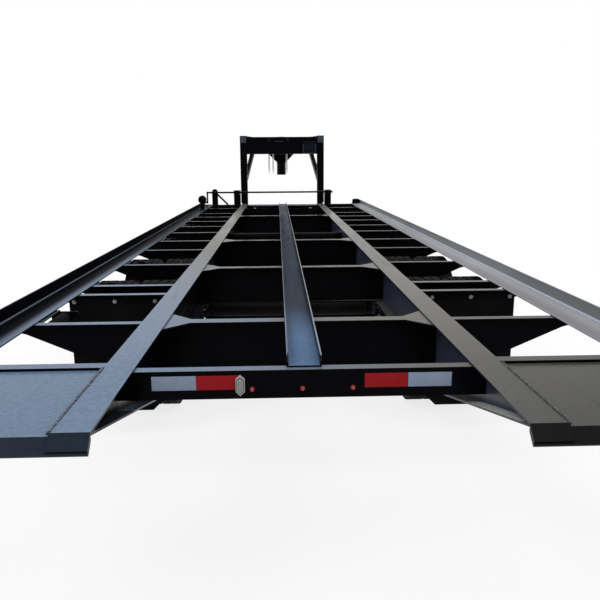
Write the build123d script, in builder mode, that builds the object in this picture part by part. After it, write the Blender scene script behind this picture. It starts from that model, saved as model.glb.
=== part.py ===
from build123d import *
import os
from math import asin, atan2, cos, degrees, hypot, sin

# Open-deck tilt trailer with a gooseneck, standing on its wheels and landing legs.
# Millimetres. +X is right, +Y is forward, +Z is up.
# The origin is on the ground, on the centre line, midway along the whole length.

# Whole trailer
deck_top = 825.0
deck_length = 9144.0
half_width = 1300.0
neck_length = 2500.0
tail_y = -(deck_length + neck_length) / 2
front_y = tail_y + deck_length

# Small clearances
pin_clearance = 0.1
seat_clearance = 0.3
side_clearance = 1.0

# Side of the sheets that trim other pieces
cutting_size = 4 * deck_length

# Main rails, one I-beam each side
rail_x = 630.0
rail_depth = 254.0
flange_width = 108.0
flange_thickness = 7.0
web_thickness = 6.0
rail_taper_length = 914.0
rail_inner = rail_x - flange_width / 2
rail_outer = rail_x + flange_width / 2
web_inner = rail_x - web_thickness / 2
web_outer = rail_x + web_thickness / 2
flange_under = deck_top - flange_thickness
rail_bottom = deck_top - rail_depth

# Side rails, one angle each side with its lip standing up
side_leg = 152.0
side_lip = 68.0
side_thickness = 6.4
side_under = deck_top - side_thickness

# Outriggers
outrigger_web = 6.0
outrigger_flange_width = 45.0
outrigger_flange_thickness = 6.0
outrigger_depth = 240.0
outrigger_end_depth = 46.0
outrigger_end_x = half_width - 106.0
outrigger_knee_x = rail_outer + 69.0
outrigger_slope = (outrigger_depth - outrigger_end_depth) / (outrigger_end_x - outrigger_knee_x)
outrigger_tip_x = half_width - 20.0
outrigger_tip_depth = 25.0
wheel_outrigger_depth = 150.0

# Tail
lip_drop = 37.0
lip_thickness = 12.7
plate_thickness = 9.5
plate_step = 10.0
strip_from_tail = 565.0
strip_width = 50.0
strip_depth = 60.0
tail_rib_thickness = 10.0
tail_rib_depth = 110.0

# Rear bumper, its top against the underside of the rails' flanges
bumper_from_tail = 530.0
bumper_depth = 45.0
bumper_height = 101.0
bumper_wall = 5.0
bumper_middle_z = flange_under - bumper_height / 2

# Centre channel, laid on the bumper and the cross beams
channel_width = 120.0
channel_wall = 6.0
channel_height = 44.0
channel_bevel = 24.0
channel_from_tail = 555.0

# Cross beams between the main rails
beam_flange_width = 66.0
beam_flange_thickness = 7.0
beam_web = 6.0
beam_depth = flange_under - rail_bottom - flange_thickness
spreader_height = 695.0
spreader_radius = 44.5
gusset_leg = 150.0
gusset_thickness = 6.0
front_beam_width = 102.0
front_beam_depth = 51.0

# Wheels and tyres, two on each side of each axle
tyre_radius = 393.5
tyre_width = 235.0
rim_radius = 203.0
rim_flange_radius = 216.0
rim_width = 176.0
rim_wall = 8.0
inner_tyre_x = 822.0
outer_tyre_x = 1089.0
axle_spacing = 889.0
tread_inset = 18.0
shoulder_drop = 8.0
shoulder_height = 45.0
shoulder_inset = 4.0
bead_bulge_inset = 6.0
bead_bulge_height = 45.0
widest_above_middle = 10.0
hub_reach = 51.0
drum_reach = 93.0
hub_radius = 78.0
hub_flange_radius = 140.0
hub_end_x = outer_tyre_x + hub_reach
hub_chamfer = 20.0
hub_neck_length = 90.0
drum_radius = 165.0
drum_start_x = inner_tyre_x - drum_reach
drum_wall = 14.0

# Axles
axle_radius = 63.5
axle_plate_reach = 107.0
axle_plate_x = inner_tyre_x - axle_plate_reach
axle_plate_radius = 170.0
axle_plate_thickness = 8.0
spindle_radius = 30.0
spindle_reach = 31.0
spindle_end_x = outer_tyre_x + spindle_reach

# Springs and hangers
spring_width = 64.0
leaf_thickness = 10.0
leaf_count = 5
spring_half_length = 330.0
leaf_step = 55.0
spring_arch = 20.0
spring_eye_radius = 20.0
hanger_plate = 8.0
hanger_half_length = 55.0
hanger_drop = 62.0
centre_hanger_half_length = 150.0
hanger_tie_height = 425.0
hanger_tie_radius = 24.0
hanger_tie_plate_width = 120.0
hanger_tie_edge = 30.0
equaliser_half_length = 85.0
equaliser_height = 42.0

# Mud flaps
flap_inner_x = 720.0
flap_outer_x = 1204.0
flap_top = 800.0
flap_bottom = 160.0
flap_thickness = 8.0
flap_bevel = 70.0

# Strap winches under the left side rail
winch_outer_x = half_width - 125.0
winch_inner_x = winch_outer_x - 130.0
winch_height = 56.0
winch_plate = 5.0
winch_drum_radius = 21.0
winch_start = 27.0

# Landing legs at the front of the deck
leg_x = 760.0
leg_tube = 110.0
leg_wall = 6.0
leg_gap = 20.0
leg_tube_bottom = 330.0
leg_tube_top = 1052.0
drop_leg_top = 560.0
foot_size = 220.0
foot_thickness = 12.0
gearbox_height = 75.0
gearbox_width = 112.0
gearbox_back = 45.0
leg_bracket_width = 90.0
leg_bracket_bottom = 620.0
leg_bracket_top = 800.0

# Cross shaft, crank and post of the landing legs
shaft_radius = 14.0
shaft_back = 25.0
shaft_height = 195.0
shaft_stub = 22.0
crank_x = half_width - 50.0
crank_drop = 160.0
crank_grip = 40.0
crank_bar_width = 34.0
crank_bar_thickness = 24.0
post_x = half_width - 172.0
post_width = 96.0
post_depth = 31.0
post_height = 258.0
brace_radius = 15.0
brace_reach = 164.0

# Round marker on the left side rail and stop block at the right side rail's front end
marker_radius = 62.0
marker_x = half_width - 64.0
marker_height = 130.0
marker_thickness = 30.0
stop_block_width = 138.0
stop_block_height = 76.0
stop_block_x = half_width - stop_block_width / 2
stop_depth = 60.0
stop_rounding = 30.0

# Neck hinge, low in front of the main rails
hinge_ahead = 70.0
hinge_z = 470.0
hinge_pin_radius = 25.0
hinge_plate_thickness = 12.0
hinge_plate_back = 320.0
hinge_plate_round = 70.0
hinge_plate_top = flange_under - front_beam_depth - flange_thickness

# Neck
upright_width = 96.0
upright_depth = 100.0
upright_cheek = 15.0
upright_cheek_bottom = deck_top + 15.0
neck_top = 1935.0
top_box_height = 275.0
top_box_drop = 20.0
neck_beam_height = 200.0
neck_beam_width = 90.0
neck_beam_front_x = 215.0
head_length = 370.0
neck_beam_reach = neck_length - head_length
neck_brace_width = 60.0
neck_brace_foot = 1100.0
neck_brace_head = 700.0
head_half_width = 260.0
sleeve_from_front = 160.0
sleeve_ahead = neck_length - sleeve_from_front
sleeve_radius = 89.0
sleeve_bottom = 1400.0
funnel_shoulder_z = 1677.0
funnel_foot_z = 1505.0
funnel_thickness = 12.0
coupler_radius = 70.0
coupler_top = 2005.0
coupler_bottom = 1260.0
coupler_head_radius = 89.0
coupler_head_height = 138.0
ball_radius = 29.4
ball_depth = 70.0
box_size = 200.0
box_width = 222.0
box_depth = 100.0
box_x = 451.0
chain_places = (-245.0, -165.0, 108.0)
chain_width = 22.0
chain_length = 480.0
chain_back = 125.0

# Lift cylinders between the deck and the neck
cylinder_x = 470.0
cylinder_base_back = 850.0
cylinder_base_z = 590.0
cylinder_eye_height = 270.0
barrel_radius = 50.0
barrel_start = 62.0
barrel_length = 735.0
barrel_end = 18.0
rod_radius = 25.0
rod_inner_end = 100.0
eye_radius = 38.0
eye_width = 60.0
cylinder_pin_radius = 20.0
lug_thickness = 12.0
lug_round = 45.0
cylinder_beam_size = 90.0
cylinder_beam_gap = 60.0
lower_tube_size = 70.0
lower_tube_ahead = 45.0

# Tail lamps on the bumper: distance from the centre line
lamp_radius = 10.0
lamp_depth = 14.0
lamp_places = (-172.0, 0.0, 172.0)
lamp_below_middle = 15.0
plate_lamp_x = -212.0
plate_lamp_width = 31.0
plate_lamp_height = 69.0
plate_lamp_depth = 24.0

# Places along the deck, measured forward from its tail end
wheel_station = 0.3086 * deck_length
wheel_gap = 747.0
flap_station = wheel_station - 996.0
rear_station = 0.1317 * deck_length
middle_station = 0.4553 * deck_length
fourth_station = 0.5978 * deck_length
sixth_station = 0.7309 * deck_length
marker_station = 0.9021 * deck_length
outrigger_stations = (
    # place, depth at the rail, where its web starts
    (rear_station, outrigger_depth, web_outer),
    (flap_station, outrigger_depth, web_outer),
    (wheel_station - wheel_gap, wheel_outrigger_depth, web_outer),
    (wheel_station, wheel_outrigger_depth, web_outer),
    (wheel_station + wheel_gap, wheel_outrigger_depth, web_outer),
    (middle_station, outrigger_depth, web_outer),
    (0.5305 * deck_length, outrigger_depth, web_outer),
    (fourth_station, outrigger_depth, web_outer),
    (0.6657 * deck_length, outrigger_depth, web_outer),
    (sixth_station, outrigger_depth, web_outer),
    (0.7952 * deck_length, outrigger_depth, web_outer),
    (marker_station, outrigger_depth, web_outer),
    (deck_length - outrigger_flange_width / 2, outrigger_depth, rail_outer + hinge_plate_thickness),
)
cross_beam_stations = (
    # name, place
    ("rear", rear_station + 19.0),
    ("axle", wheel_station - 148.0),
    ("middle", middle_station + 5.0),
    ("forward", 0.7474 * deck_length),
)
winch_stations = (
    # place, length
    (rear_station, 240.0),
    (wheel_station - wheel_gap, 100.0),
    (wheel_station, 180.0),
    (middle_station, 240.0),
    (fourth_station, 240.0),
    (sixth_station, 240.0),
)
axles = (
    # name, place along the trailer
    ("rear", tail_y + wheel_station - axle_spacing / 2),
    ("front", tail_y + wheel_station + axle_spacing / 2),
)
sides = (
    # name, sign of X
    ("left", -1),
    ("right", 1),
)

os.makedirs("parts", exist_ok=True)


def facing_back(y):
    """Plane at y that shows X to the right and Z up, and is pushed towards the tail."""
    return Plane(origin=(0, y, 0), x_dir=(1, 0, 0), z_dir=(0, -1, 0))


def facing_right(x):
    """Plane at x that shows Y to the right and Z up, and is pushed towards +X."""
    return Plane(origin=(x, 0, 0), x_dir=(0, 1, 0), z_dir=(1, 0, 0))


# Main rails
tail_end_y = tail_y + lip_drop
taper_start_y = tail_y + rail_taper_length
for side_name, side in sides:
    with BuildPart() as main_rail:
        with BuildSketch(facing_right(side * rail_x)):
            with BuildLine():
                Polyline(
                    (tail_end_y, deck_top),
                    (front_y, deck_top),
                    (front_y, rail_bottom),
                    (taper_start_y, rail_bottom),
                    (tail_end_y, flange_under),
                    close=True,
                )
            make_face()
        extrude(amount=web_thickness / 2, both=True)
        with BuildSketch(facing_right(side * rail_x)):
            with BuildLine():
                Polyline(
                    (tail_end_y, deck_top),
                    (front_y, deck_top),
                    (front_y, flange_under),
                    (tail_end_y, flange_under),
                    close=True,
                )
            make_face()
            with BuildLine():
                Polyline(
                    (front_y, rail_bottom),
                    (front_y, rail_bottom + flange_thickness),
                    (taper_start_y, rail_bottom + flange_thickness),
                    (tail_end_y, flange_under + flange_thickness / 2),
                    (tail_end_y, flange_under - flange_thickness / 2),
                    (taper_start_y, rail_bottom),
                    close=True,
                )
            make_face()
        extrude(amount=flange_width / 2, both=True)
    main_rail.part.label = f"main_rail_{side_name}"
    export_step(main_rail.part, f"parts/main_rail_{side_name}.step")

# Side rails
side_start_y = tail_y + strip_from_tail + strip_width
for side_name, side in sides:
    with BuildPart() as side_rail:
        with BuildSketch(facing_back(front_y)):
            with BuildLine():
                Polyline(
                    (side * (half_width - side_leg), deck_top),
                    (side * (half_width - side_thickness), deck_top),
                    (side * (half_width - side_thickness), side_under + side_lip),
                    (side * half_width, side_under + side_lip),
                    (side * half_width, side_under),
                    (side * (half_width - side_leg), side_under),
                    close=True,
                )
            make_face()
        extrude(amount=front_y - side_start_y)
    side_rail.part.label = f"side_rail_{side_name}"
    export_step(side_rail.part, f"parts/side_rail_{side_name}.step")

# Round marker that stands on the left side rail
with BuildPart() as side_marker:
    with BuildSketch(facing_back(tail_y + marker_station)):
        with Locations((-marker_x, deck_top + marker_height)):
            Circle(marker_radius)
        with Locations((-marker_x, deck_top + marker_height / 2)):
            Rectangle(marker_radius, marker_height)
    extrude(amount=marker_thickness / 2, both=True)
side_marker.part.label = "side_marker"
export_step(side_marker.part, "parts/side_marker.step")

# Stop block at the front end of the right side rail
with BuildPart() as side_stop:
    with BuildSketch(facing_back(front_y)):
        with Locations((stop_block_x, deck_top + stop_block_height / 2)):
            Rectangle(stop_block_width - 2 * side_thickness, stop_block_height)
    extrude(amount=stop_depth)
    fillet(side_stop.edges().filter_by(Axis.Y).group_by(Axis.Z)[-1], radius=stop_rounding)
side_stop.part.label = "side_stop"
export_step(side_stop.part, "parts/side_stop.step")

# Outriggers of each side, from the tail strip to the front of the deck
for side_name, side in sides:
    with BuildPart() as outriggers:
        with BuildSketch(facing_back(tail_y + strip_from_tail + strip_width)):
            with BuildLine():
                Polyline(
                    (side * rail_outer, deck_top),
                    (side * half_width, deck_top),
                    (side * half_width, deck_top - outrigger_end_depth),
                    (side * rail_outer, deck_top - outrigger_end_depth - strip_depth),
                    close=True,
                )
            make_face()
        extrude(amount=strip_width)
        for station, depth, web_start in outrigger_stations:
            station_y = tail_y + station
            knee_x = outrigger_end_x - (depth - outrigger_end_depth) / outrigger_slope
            with BuildSketch(facing_back(station_y)):
                with BuildLine():
                    Polyline(
                        (side * max(web_start, rail_outer), side_under),
                        (side * outrigger_tip_x, side_under),
                        (side * outrigger_tip_x, side_under - outrigger_tip_depth),
                        (side * outrigger_end_x, side_under - outrigger_end_depth),
                        (side * knee_x, side_under - depth),
                        (side * max(web_start, rail_outer), side_under - depth),
                        close=True,
                    )
                make_face()
                if web_start < rail_outer:
                    with BuildLine():
                        Polyline(
                            (side * web_start, flange_under),
                            (side * rail_outer, flange_under),
                            (side * rail_outer, side_under - depth),
                            (side * web_start, side_under - depth),
                            close=True,
                        )
                    make_face()
            extrude(amount=outrigger_web / 2, both=True)
            with BuildSketch(facing_back(station_y)):
                with BuildLine():
                    Polyline(
                        (side * rail_outer, side_under),
                        (side * outrigger_tip_x, side_under),
                        (side * outrigger_tip_x, side_under - outrigger_flange_thickness),
                        (side * rail_outer, side_under - outrigger_flange_thickness),
                        close=True,
                    )
                make_face()
            extrude(amount=outrigger_flange_width / 2, both=True)
    outriggers.part.label = f"outriggers_{side_name}"
    export_step(outriggers.part, f"parts/outriggers_{side_name}.step")

# Cross beams with a gusset plate in each corner
for beam_name, station in cross_beam_stations:
    station_y = tail_y + station
    beam_bottom = flange_under - beam_depth
    with BuildPart() as cross_beam:
        with BuildSketch(facing_right(-web_inner)):
            with Locations((station_y, flange_under - beam_flange_thickness / 2)):
                Rectangle(beam_flange_width, beam_flange_thickness)
            with Locations((station_y, flange_under - beam_depth / 2)):
                Rectangle(beam_web, beam_depth)
            with Locations((station_y, beam_bottom + beam_flange_thickness / 2)):
                Rectangle(beam_flange_width, beam_flange_thickness)
        extrude(amount=2 * web_inner)
        with BuildSketch(Plane.XY.offset(flange_under - gusset_thickness)):
            for along in (-1, 1):
                root_y = station_y + along * beam_flange_width / 2
                for across in (-1, 1):
                    with BuildLine():
                        Polyline(
                            (across * web_inner, station_y),
                            (across * (web_inner - gusset_leg), station_y),
                            (across * (web_inner - gusset_leg), root_y),
                            (across * web_inner, root_y + along * gusset_leg),
                            close=True,
                        )
                    make_face()
        extrude(amount=gusset_thickness)
    cross_beam.part.label = f"cross_beam_{beam_name}"
    export_step(cross_beam.part, f"parts/cross_beam_{beam_name}.step")

# Front cross beam, a channel laid flat, open below and shallow to clear the cylinders
with BuildPart() as front_beam:
    with BuildSketch(facing_right(-web_inner)):
        with Locations((front_y - front_beam_width / 2, flange_under - front_beam_depth / 2)):
            Rectangle(front_beam_width, front_beam_depth)
        with Locations(
            (front_y - front_beam_width / 2, flange_under - beam_flange_thickness - front_beam_depth / 2)
        ):
            Rectangle(
                front_beam_width - 2 * beam_flange_thickness, front_beam_depth, mode=Mode.SUBTRACT
            )
    extrude(amount=2 * web_inner)
front_beam.part.label = "cross_beam_front"
export_step(front_beam.part, "parts/cross_beam_front.step")

# Rear bumper, a box section between the webs of the main rails
bumper_y = tail_y + bumper_from_tail
with BuildPart() as rear_bumper:
    with BuildSketch(facing_right(-web_inner)):
        with Locations((bumper_y + bumper_depth / 2, bumper_middle_z)):
            Rectangle(bumper_depth, bumper_height)
            Rectangle(
                bumper_depth - 2 * bumper_wall, bumper_height - 2 * bumper_wall, mode=Mode.SUBTRACT
            )
    extrude(amount=2 * web_inner)
rear_bumper.part.label = "rear_bumper"
export_step(rear_bumper.part, "parts/rear_bumper.step")

# Tail lamps and the ribbed plate lamp on the bumper's rear face
with BuildPart() as tail_lamps:
    with BuildSketch(facing_back(bumper_y)):
        with Locations(*[(x, bumper_middle_z - lamp_below_middle) for x in lamp_places]):
            Circle(lamp_radius)
    extrude(amount=lamp_depth)
    with BuildSketch(facing_back(bumper_y)):
        with Locations((plate_lamp_x, bumper_middle_z)):
            RectangleRounded(plate_lamp_width, plate_lamp_height, plate_lamp_width / 4)
    extrude(amount=plate_lamp_depth)
tail_lamps.part.label = "tail_lamps"
export_step(tail_lamps.part, "parts/tail_lamps.step")

# Centre channel, open upwards, with its rear ends bevelled
channel_start_y = tail_y + channel_from_tail
channel_end_y = front_y - 2 * channel_wall
with BuildPart() as centre_channel:
    with BuildSketch(facing_right(-channel_width / 2)):
        with BuildLine():
            Polyline(
                (channel_start_y, flange_under),
                (channel_end_y, flange_under),
                (channel_end_y, flange_under + channel_height),
                (channel_start_y + channel_bevel, flange_under + channel_height),
                (channel_start_y, flange_under + channel_height - channel_bevel),
                close=True,
            )
        make_face()
    extrude(amount=channel_width)
    with BuildSketch(Plane.XY.offset(flange_under + channel_wall)):
        with Locations((0, (channel_start_y + channel_end_y) / 2)):
            Rectangle(channel_width - 2 * channel_wall, 2 * deck_length)
    extrude(amount=channel_height, mode=Mode.SUBTRACT)
centre_channel.part.label = "centre_channel"
export_step(centre_channel.part, "parts/centre_channel.step")

# Tail plates outside the main rails, each with its bent-down lip and a rib below
plate_top = deck_top - plate_step
strip_y = tail_y + strip_from_tail
for side_name, side in sides:
    with BuildPart() as tail_plate:
        with BuildSketch(facing_right(side * (rail_outer + half_width) / 2)):
            with BuildLine():
                Polyline(
                    (tail_end_y, plate_top),
                    (strip_y, plate_top),
                    (strip_y, plate_top - plate_thickness),
                    (tail_end_y, plate_top - plate_thickness),
                    close=True,
                )
            make_face()
        extrude(amount=(half_width - rail_outer) / 2, both=True)
        with BuildSketch(facing_right(side * (rail_inner + half_width) / 2)):
            with BuildLine():
                Polyline(
                    (tail_end_y, plate_top),
                    (tail_end_y, plate_top - lip_thickness),
                    (tail_y + lip_thickness / 2, plate_top - lip_drop - lip_thickness / 2),
                    (tail_y, plate_top - lip_drop),
                    close=True,
                )
            make_face()
        extrude(amount=(half_width - rail_inner) / 2, both=True)
        with BuildSketch(facing_right(side * (rail_outer + half_width) / 2)):
            with BuildLine():
                Polyline(
                    (tail_end_y, plate_top - plate_thickness),
                    (strip_y, plate_top - plate_thickness),
                    (strip_y, plate_top - tail_rib_depth),
                    close=True,
                )
            make_face()
        extrude(amount=tail_rib_thickness / 2, both=True)
    tail_plate.part.label = f"tail_plate_{side_name}"
    export_step(tail_plate.part, f"parts/tail_plate_{side_name}.step")

# Mud flaps, hung on the back of one outrigger
flap_y = tail_y + flap_station - outrigger_web / 2
for side_name, side in sides:
    with BuildPart() as mud_flap:
        with BuildSketch(facing_back(flap_y)):
            with BuildLine():
                Polyline(
                    (side * flap_inner_x, flap_top),
                    (side * flap_outer_x, flap_top),
                    (side * flap_outer_x, flap_bottom),
                    (side * (flap_inner_x + flap_bevel), flap_bottom),
                    (side * flap_inner_x, flap_bottom + flap_bevel),
                    close=True,
                )
            make_face()
        extrude(amount=flap_thickness)
    mud_flap.part.label = f"mud_flap_{side_name}"
    export_step(mud_flap.part, f"parts/mud_flap_{side_name}.step")

# Strap winches, each with two end plates, a back and a drum
with BuildPart() as strap_winches:
    winch_middle_x = -(winch_inner_x + winch_outer_x) / 2
    winch_width = winch_outer_x - winch_inner_x
    winch_top = side_under - outrigger_flange_thickness
    for station, winch_length in winch_stations:
        winch_y = tail_y + station + winch_start + winch_length / 2
        with BuildSketch(facing_back(winch_y + winch_length / 2)):
            with Locations((winch_middle_x, winch_top - winch_height / 2)):
                RectangleRounded(winch_width, winch_height, winch_height / 5)
        extrude(amount=winch_plate)
        with BuildSketch(facing_back(winch_y - winch_length / 2 + winch_plate)):
            with Locations((winch_middle_x, winch_top - winch_height / 2)):
                RectangleRounded(winch_width, winch_height, winch_height / 5)
        extrude(amount=winch_plate)
        with BuildSketch(facing_back(winch_y + winch_length / 2)):
            with Locations((winch_middle_x, winch_top - winch_height / 2)):
                Circle(winch_drum_radius)
        extrude(amount=winch_length)
        with BuildSketch(facing_back(winch_y + winch_length / 2)):
            with Locations((-winch_outer_x + winch_width / 6, side_under - winch_plate / 2)):
                Rectangle(winch_width / 3, winch_plate)
            with Locations(
                (-winch_outer_x + winch_width / 6, side_under - outrigger_flange_thickness)
            ):
                Rectangle(winch_width / 8, outrigger_flange_thickness * 2)
        extrude(amount=winch_length)
strap_winches.part.label = "strap_winches"
export_step(strap_winches.part, "parts/strap_winches.step")

# Axles: a round beam, a brake plate each end and the spindles
for axle_name, axle_y in axles:
    with BuildPart() as axle:
        with BuildSketch(facing_right(-axle_plate_x)):
            with Locations((axle_y, tyre_radius)):
                Circle(axle_radius)
        extrude(amount=2 * axle_plate_x)
        with BuildSketch(facing_right(-spindle_end_x)):
            with Locations((axle_y, tyre_radius)):
                Circle(spindle_radius)
        extrude(amount=2 * spindle_end_x)
        for _, side in sides:
            with BuildSketch(facing_right(side * axle_plate_x)):
                with Locations((axle_y, tyre_radius)):
                    Circle(axle_plate_radius)
            extrude(amount=axle_plate_thickness / 2, both=True)
    axle.part.label = f"axle_{axle_name}"
    export_step(axle.part, f"parts/axle_{axle_name}.step")

# Leaf springs of each side, with the saddle that seats each one on its axle
saddle_top = tyre_radius + axle_radius + leaf_thickness
arch_radius = (spring_half_length**2 + spring_arch**2) / (2 * spring_arch)
main_leaf_z = saddle_top + leaf_count * leaf_thickness
spring_eye_z = main_leaf_z + spring_arch
for side_name, side in sides:
    with BuildPart() as leaf_springs:
        for _, axle_y in axles:
            for leaf in range(leaf_count):
                inner_radius = arch_radius + leaf * leaf_thickness
                outer_radius = inner_radius + leaf_thickness
                spread = degrees(asin((spring_half_length - leaf * leaf_step) / inner_radius))
                centre = (axle_y, main_leaf_z + arch_radius)
                with BuildSketch(facing_right(side * rail_x)):
                    with BuildLine():
                        top_line = CenterArc(centre, inner_radius, 270 - spread, 2 * spread)
                        low_line = CenterArc(centre, outer_radius, 270 - spread, 2 * spread)
                        Line(top_line @ 0, low_line @ 0)
                        Line(top_line @ 1, low_line @ 1)
                    make_face()
                extrude(amount=spring_width / 2, both=True)
            with BuildSketch(facing_right(side * rail_x)):
                with Locations(
                    (axle_y - spring_half_length, spring_eye_z),
                    (axle_y + spring_half_length, spring_eye_z),
                ):
                    Circle(spring_eye_radius)
            extrude(amount=spring_width / 2, both=True)
            with BuildSketch(facing_right(side * rail_x)):
                with Locations((axle_y, (tyre_radius + saddle_top + leaf_thickness / 2) / 2)):
                    Rectangle(2 * axle_radius, saddle_top + leaf_thickness / 2 - tyre_radius)
                with Locations((axle_y, tyre_radius)):
                    Circle(axle_radius, mode=Mode.SUBTRACT)
            extrude(amount=spring_width / 2, both=True)
    leaf_springs.part.label = f"leaf_springs_{side_name}"
    export_step(leaf_springs.part, f"parts/leaf_springs_{side_name}.step")

# Spring hangers of each side, tied together by a tube below the middle ones, and the
# equaliser that rocks in the middle one
wheel_y = tail_y + wheel_station
end_hanger_offset = axle_spacing / 2 + spring_half_length
hanger_bottom = spring_eye_z - hanger_drop / 2
for side_name, side in sides:
    with BuildPart() as hangers:
        for place_y, half_length in (
            (wheel_y - end_hanger_offset, hanger_half_length),
            (wheel_y, centre_hanger_half_length),
            (wheel_y + end_hanger_offset, hanger_half_length),
        ):
            with BuildSketch(facing_right(side * rail_x)):
                with BuildLine():
                    Polyline(
                        (place_y - half_length, rail_bottom),
                        (place_y + half_length, rail_bottom),
                        (place_y + half_length, spring_eye_z),
                        (place_y + half_length / 2, hanger_bottom),
                        (place_y - half_length / 2, hanger_bottom),
                        (place_y - half_length, spring_eye_z),
                        close=True,
                    )
                make_face()
            extrude(amount=spring_width / 2 + hanger_plate, both=True)
            with BuildSketch(facing_right(side * rail_x)):
                with Locations((place_y, (rail_bottom - hanger_plate + hanger_bottom) / 2)):
                    Rectangle(
                        2 * half_length, rail_bottom - hanger_plate - hanger_bottom, mode=Mode.ADD
                    )
            extrude(amount=spring_width / 2, both=True, mode=Mode.SUBTRACT)
        tie_bottom = hanger_tie_height - hanger_tie_edge
        with BuildSketch(facing_right(side * (rail_x - (spring_width + hanger_plate) / 2))):
            with Locations((wheel_y, (hanger_bottom + hanger_plate + tie_bottom) / 2)):
                Rectangle(hanger_tie_plate_width, hanger_bottom + hanger_plate - tie_bottom)
        extrude(amount=hanger_plate / 2, both=True)
        with BuildSketch(facing_right(0)):
            with Locations((wheel_y, hanger_tie_height)):
                Circle(hanger_tie_radius)
        extrude(amount=side * (rail_x - spring_width / 2 - hanger_plate))
    hangers.part.label = f"spring_hangers_{side_name}"
    export_step(hangers.part, f"parts/spring_hangers_{side_name}.step")
    with BuildPart() as equaliser:
        with BuildSketch(facing_right(side * rail_x)):
            with Locations((wheel_y, spring_eye_z - equaliser_height / 4)):
                RectangleRounded(
                    2 * equaliser_half_length, equaliser_height, equaliser_height / 2.5
                )
        extrude(amount=spring_width / 2, both=True)
    equaliser.part.label = f"equaliser_{side_name}"
    export_step(equaliser.part, f"parts/equaliser_{side_name}.step")

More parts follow.
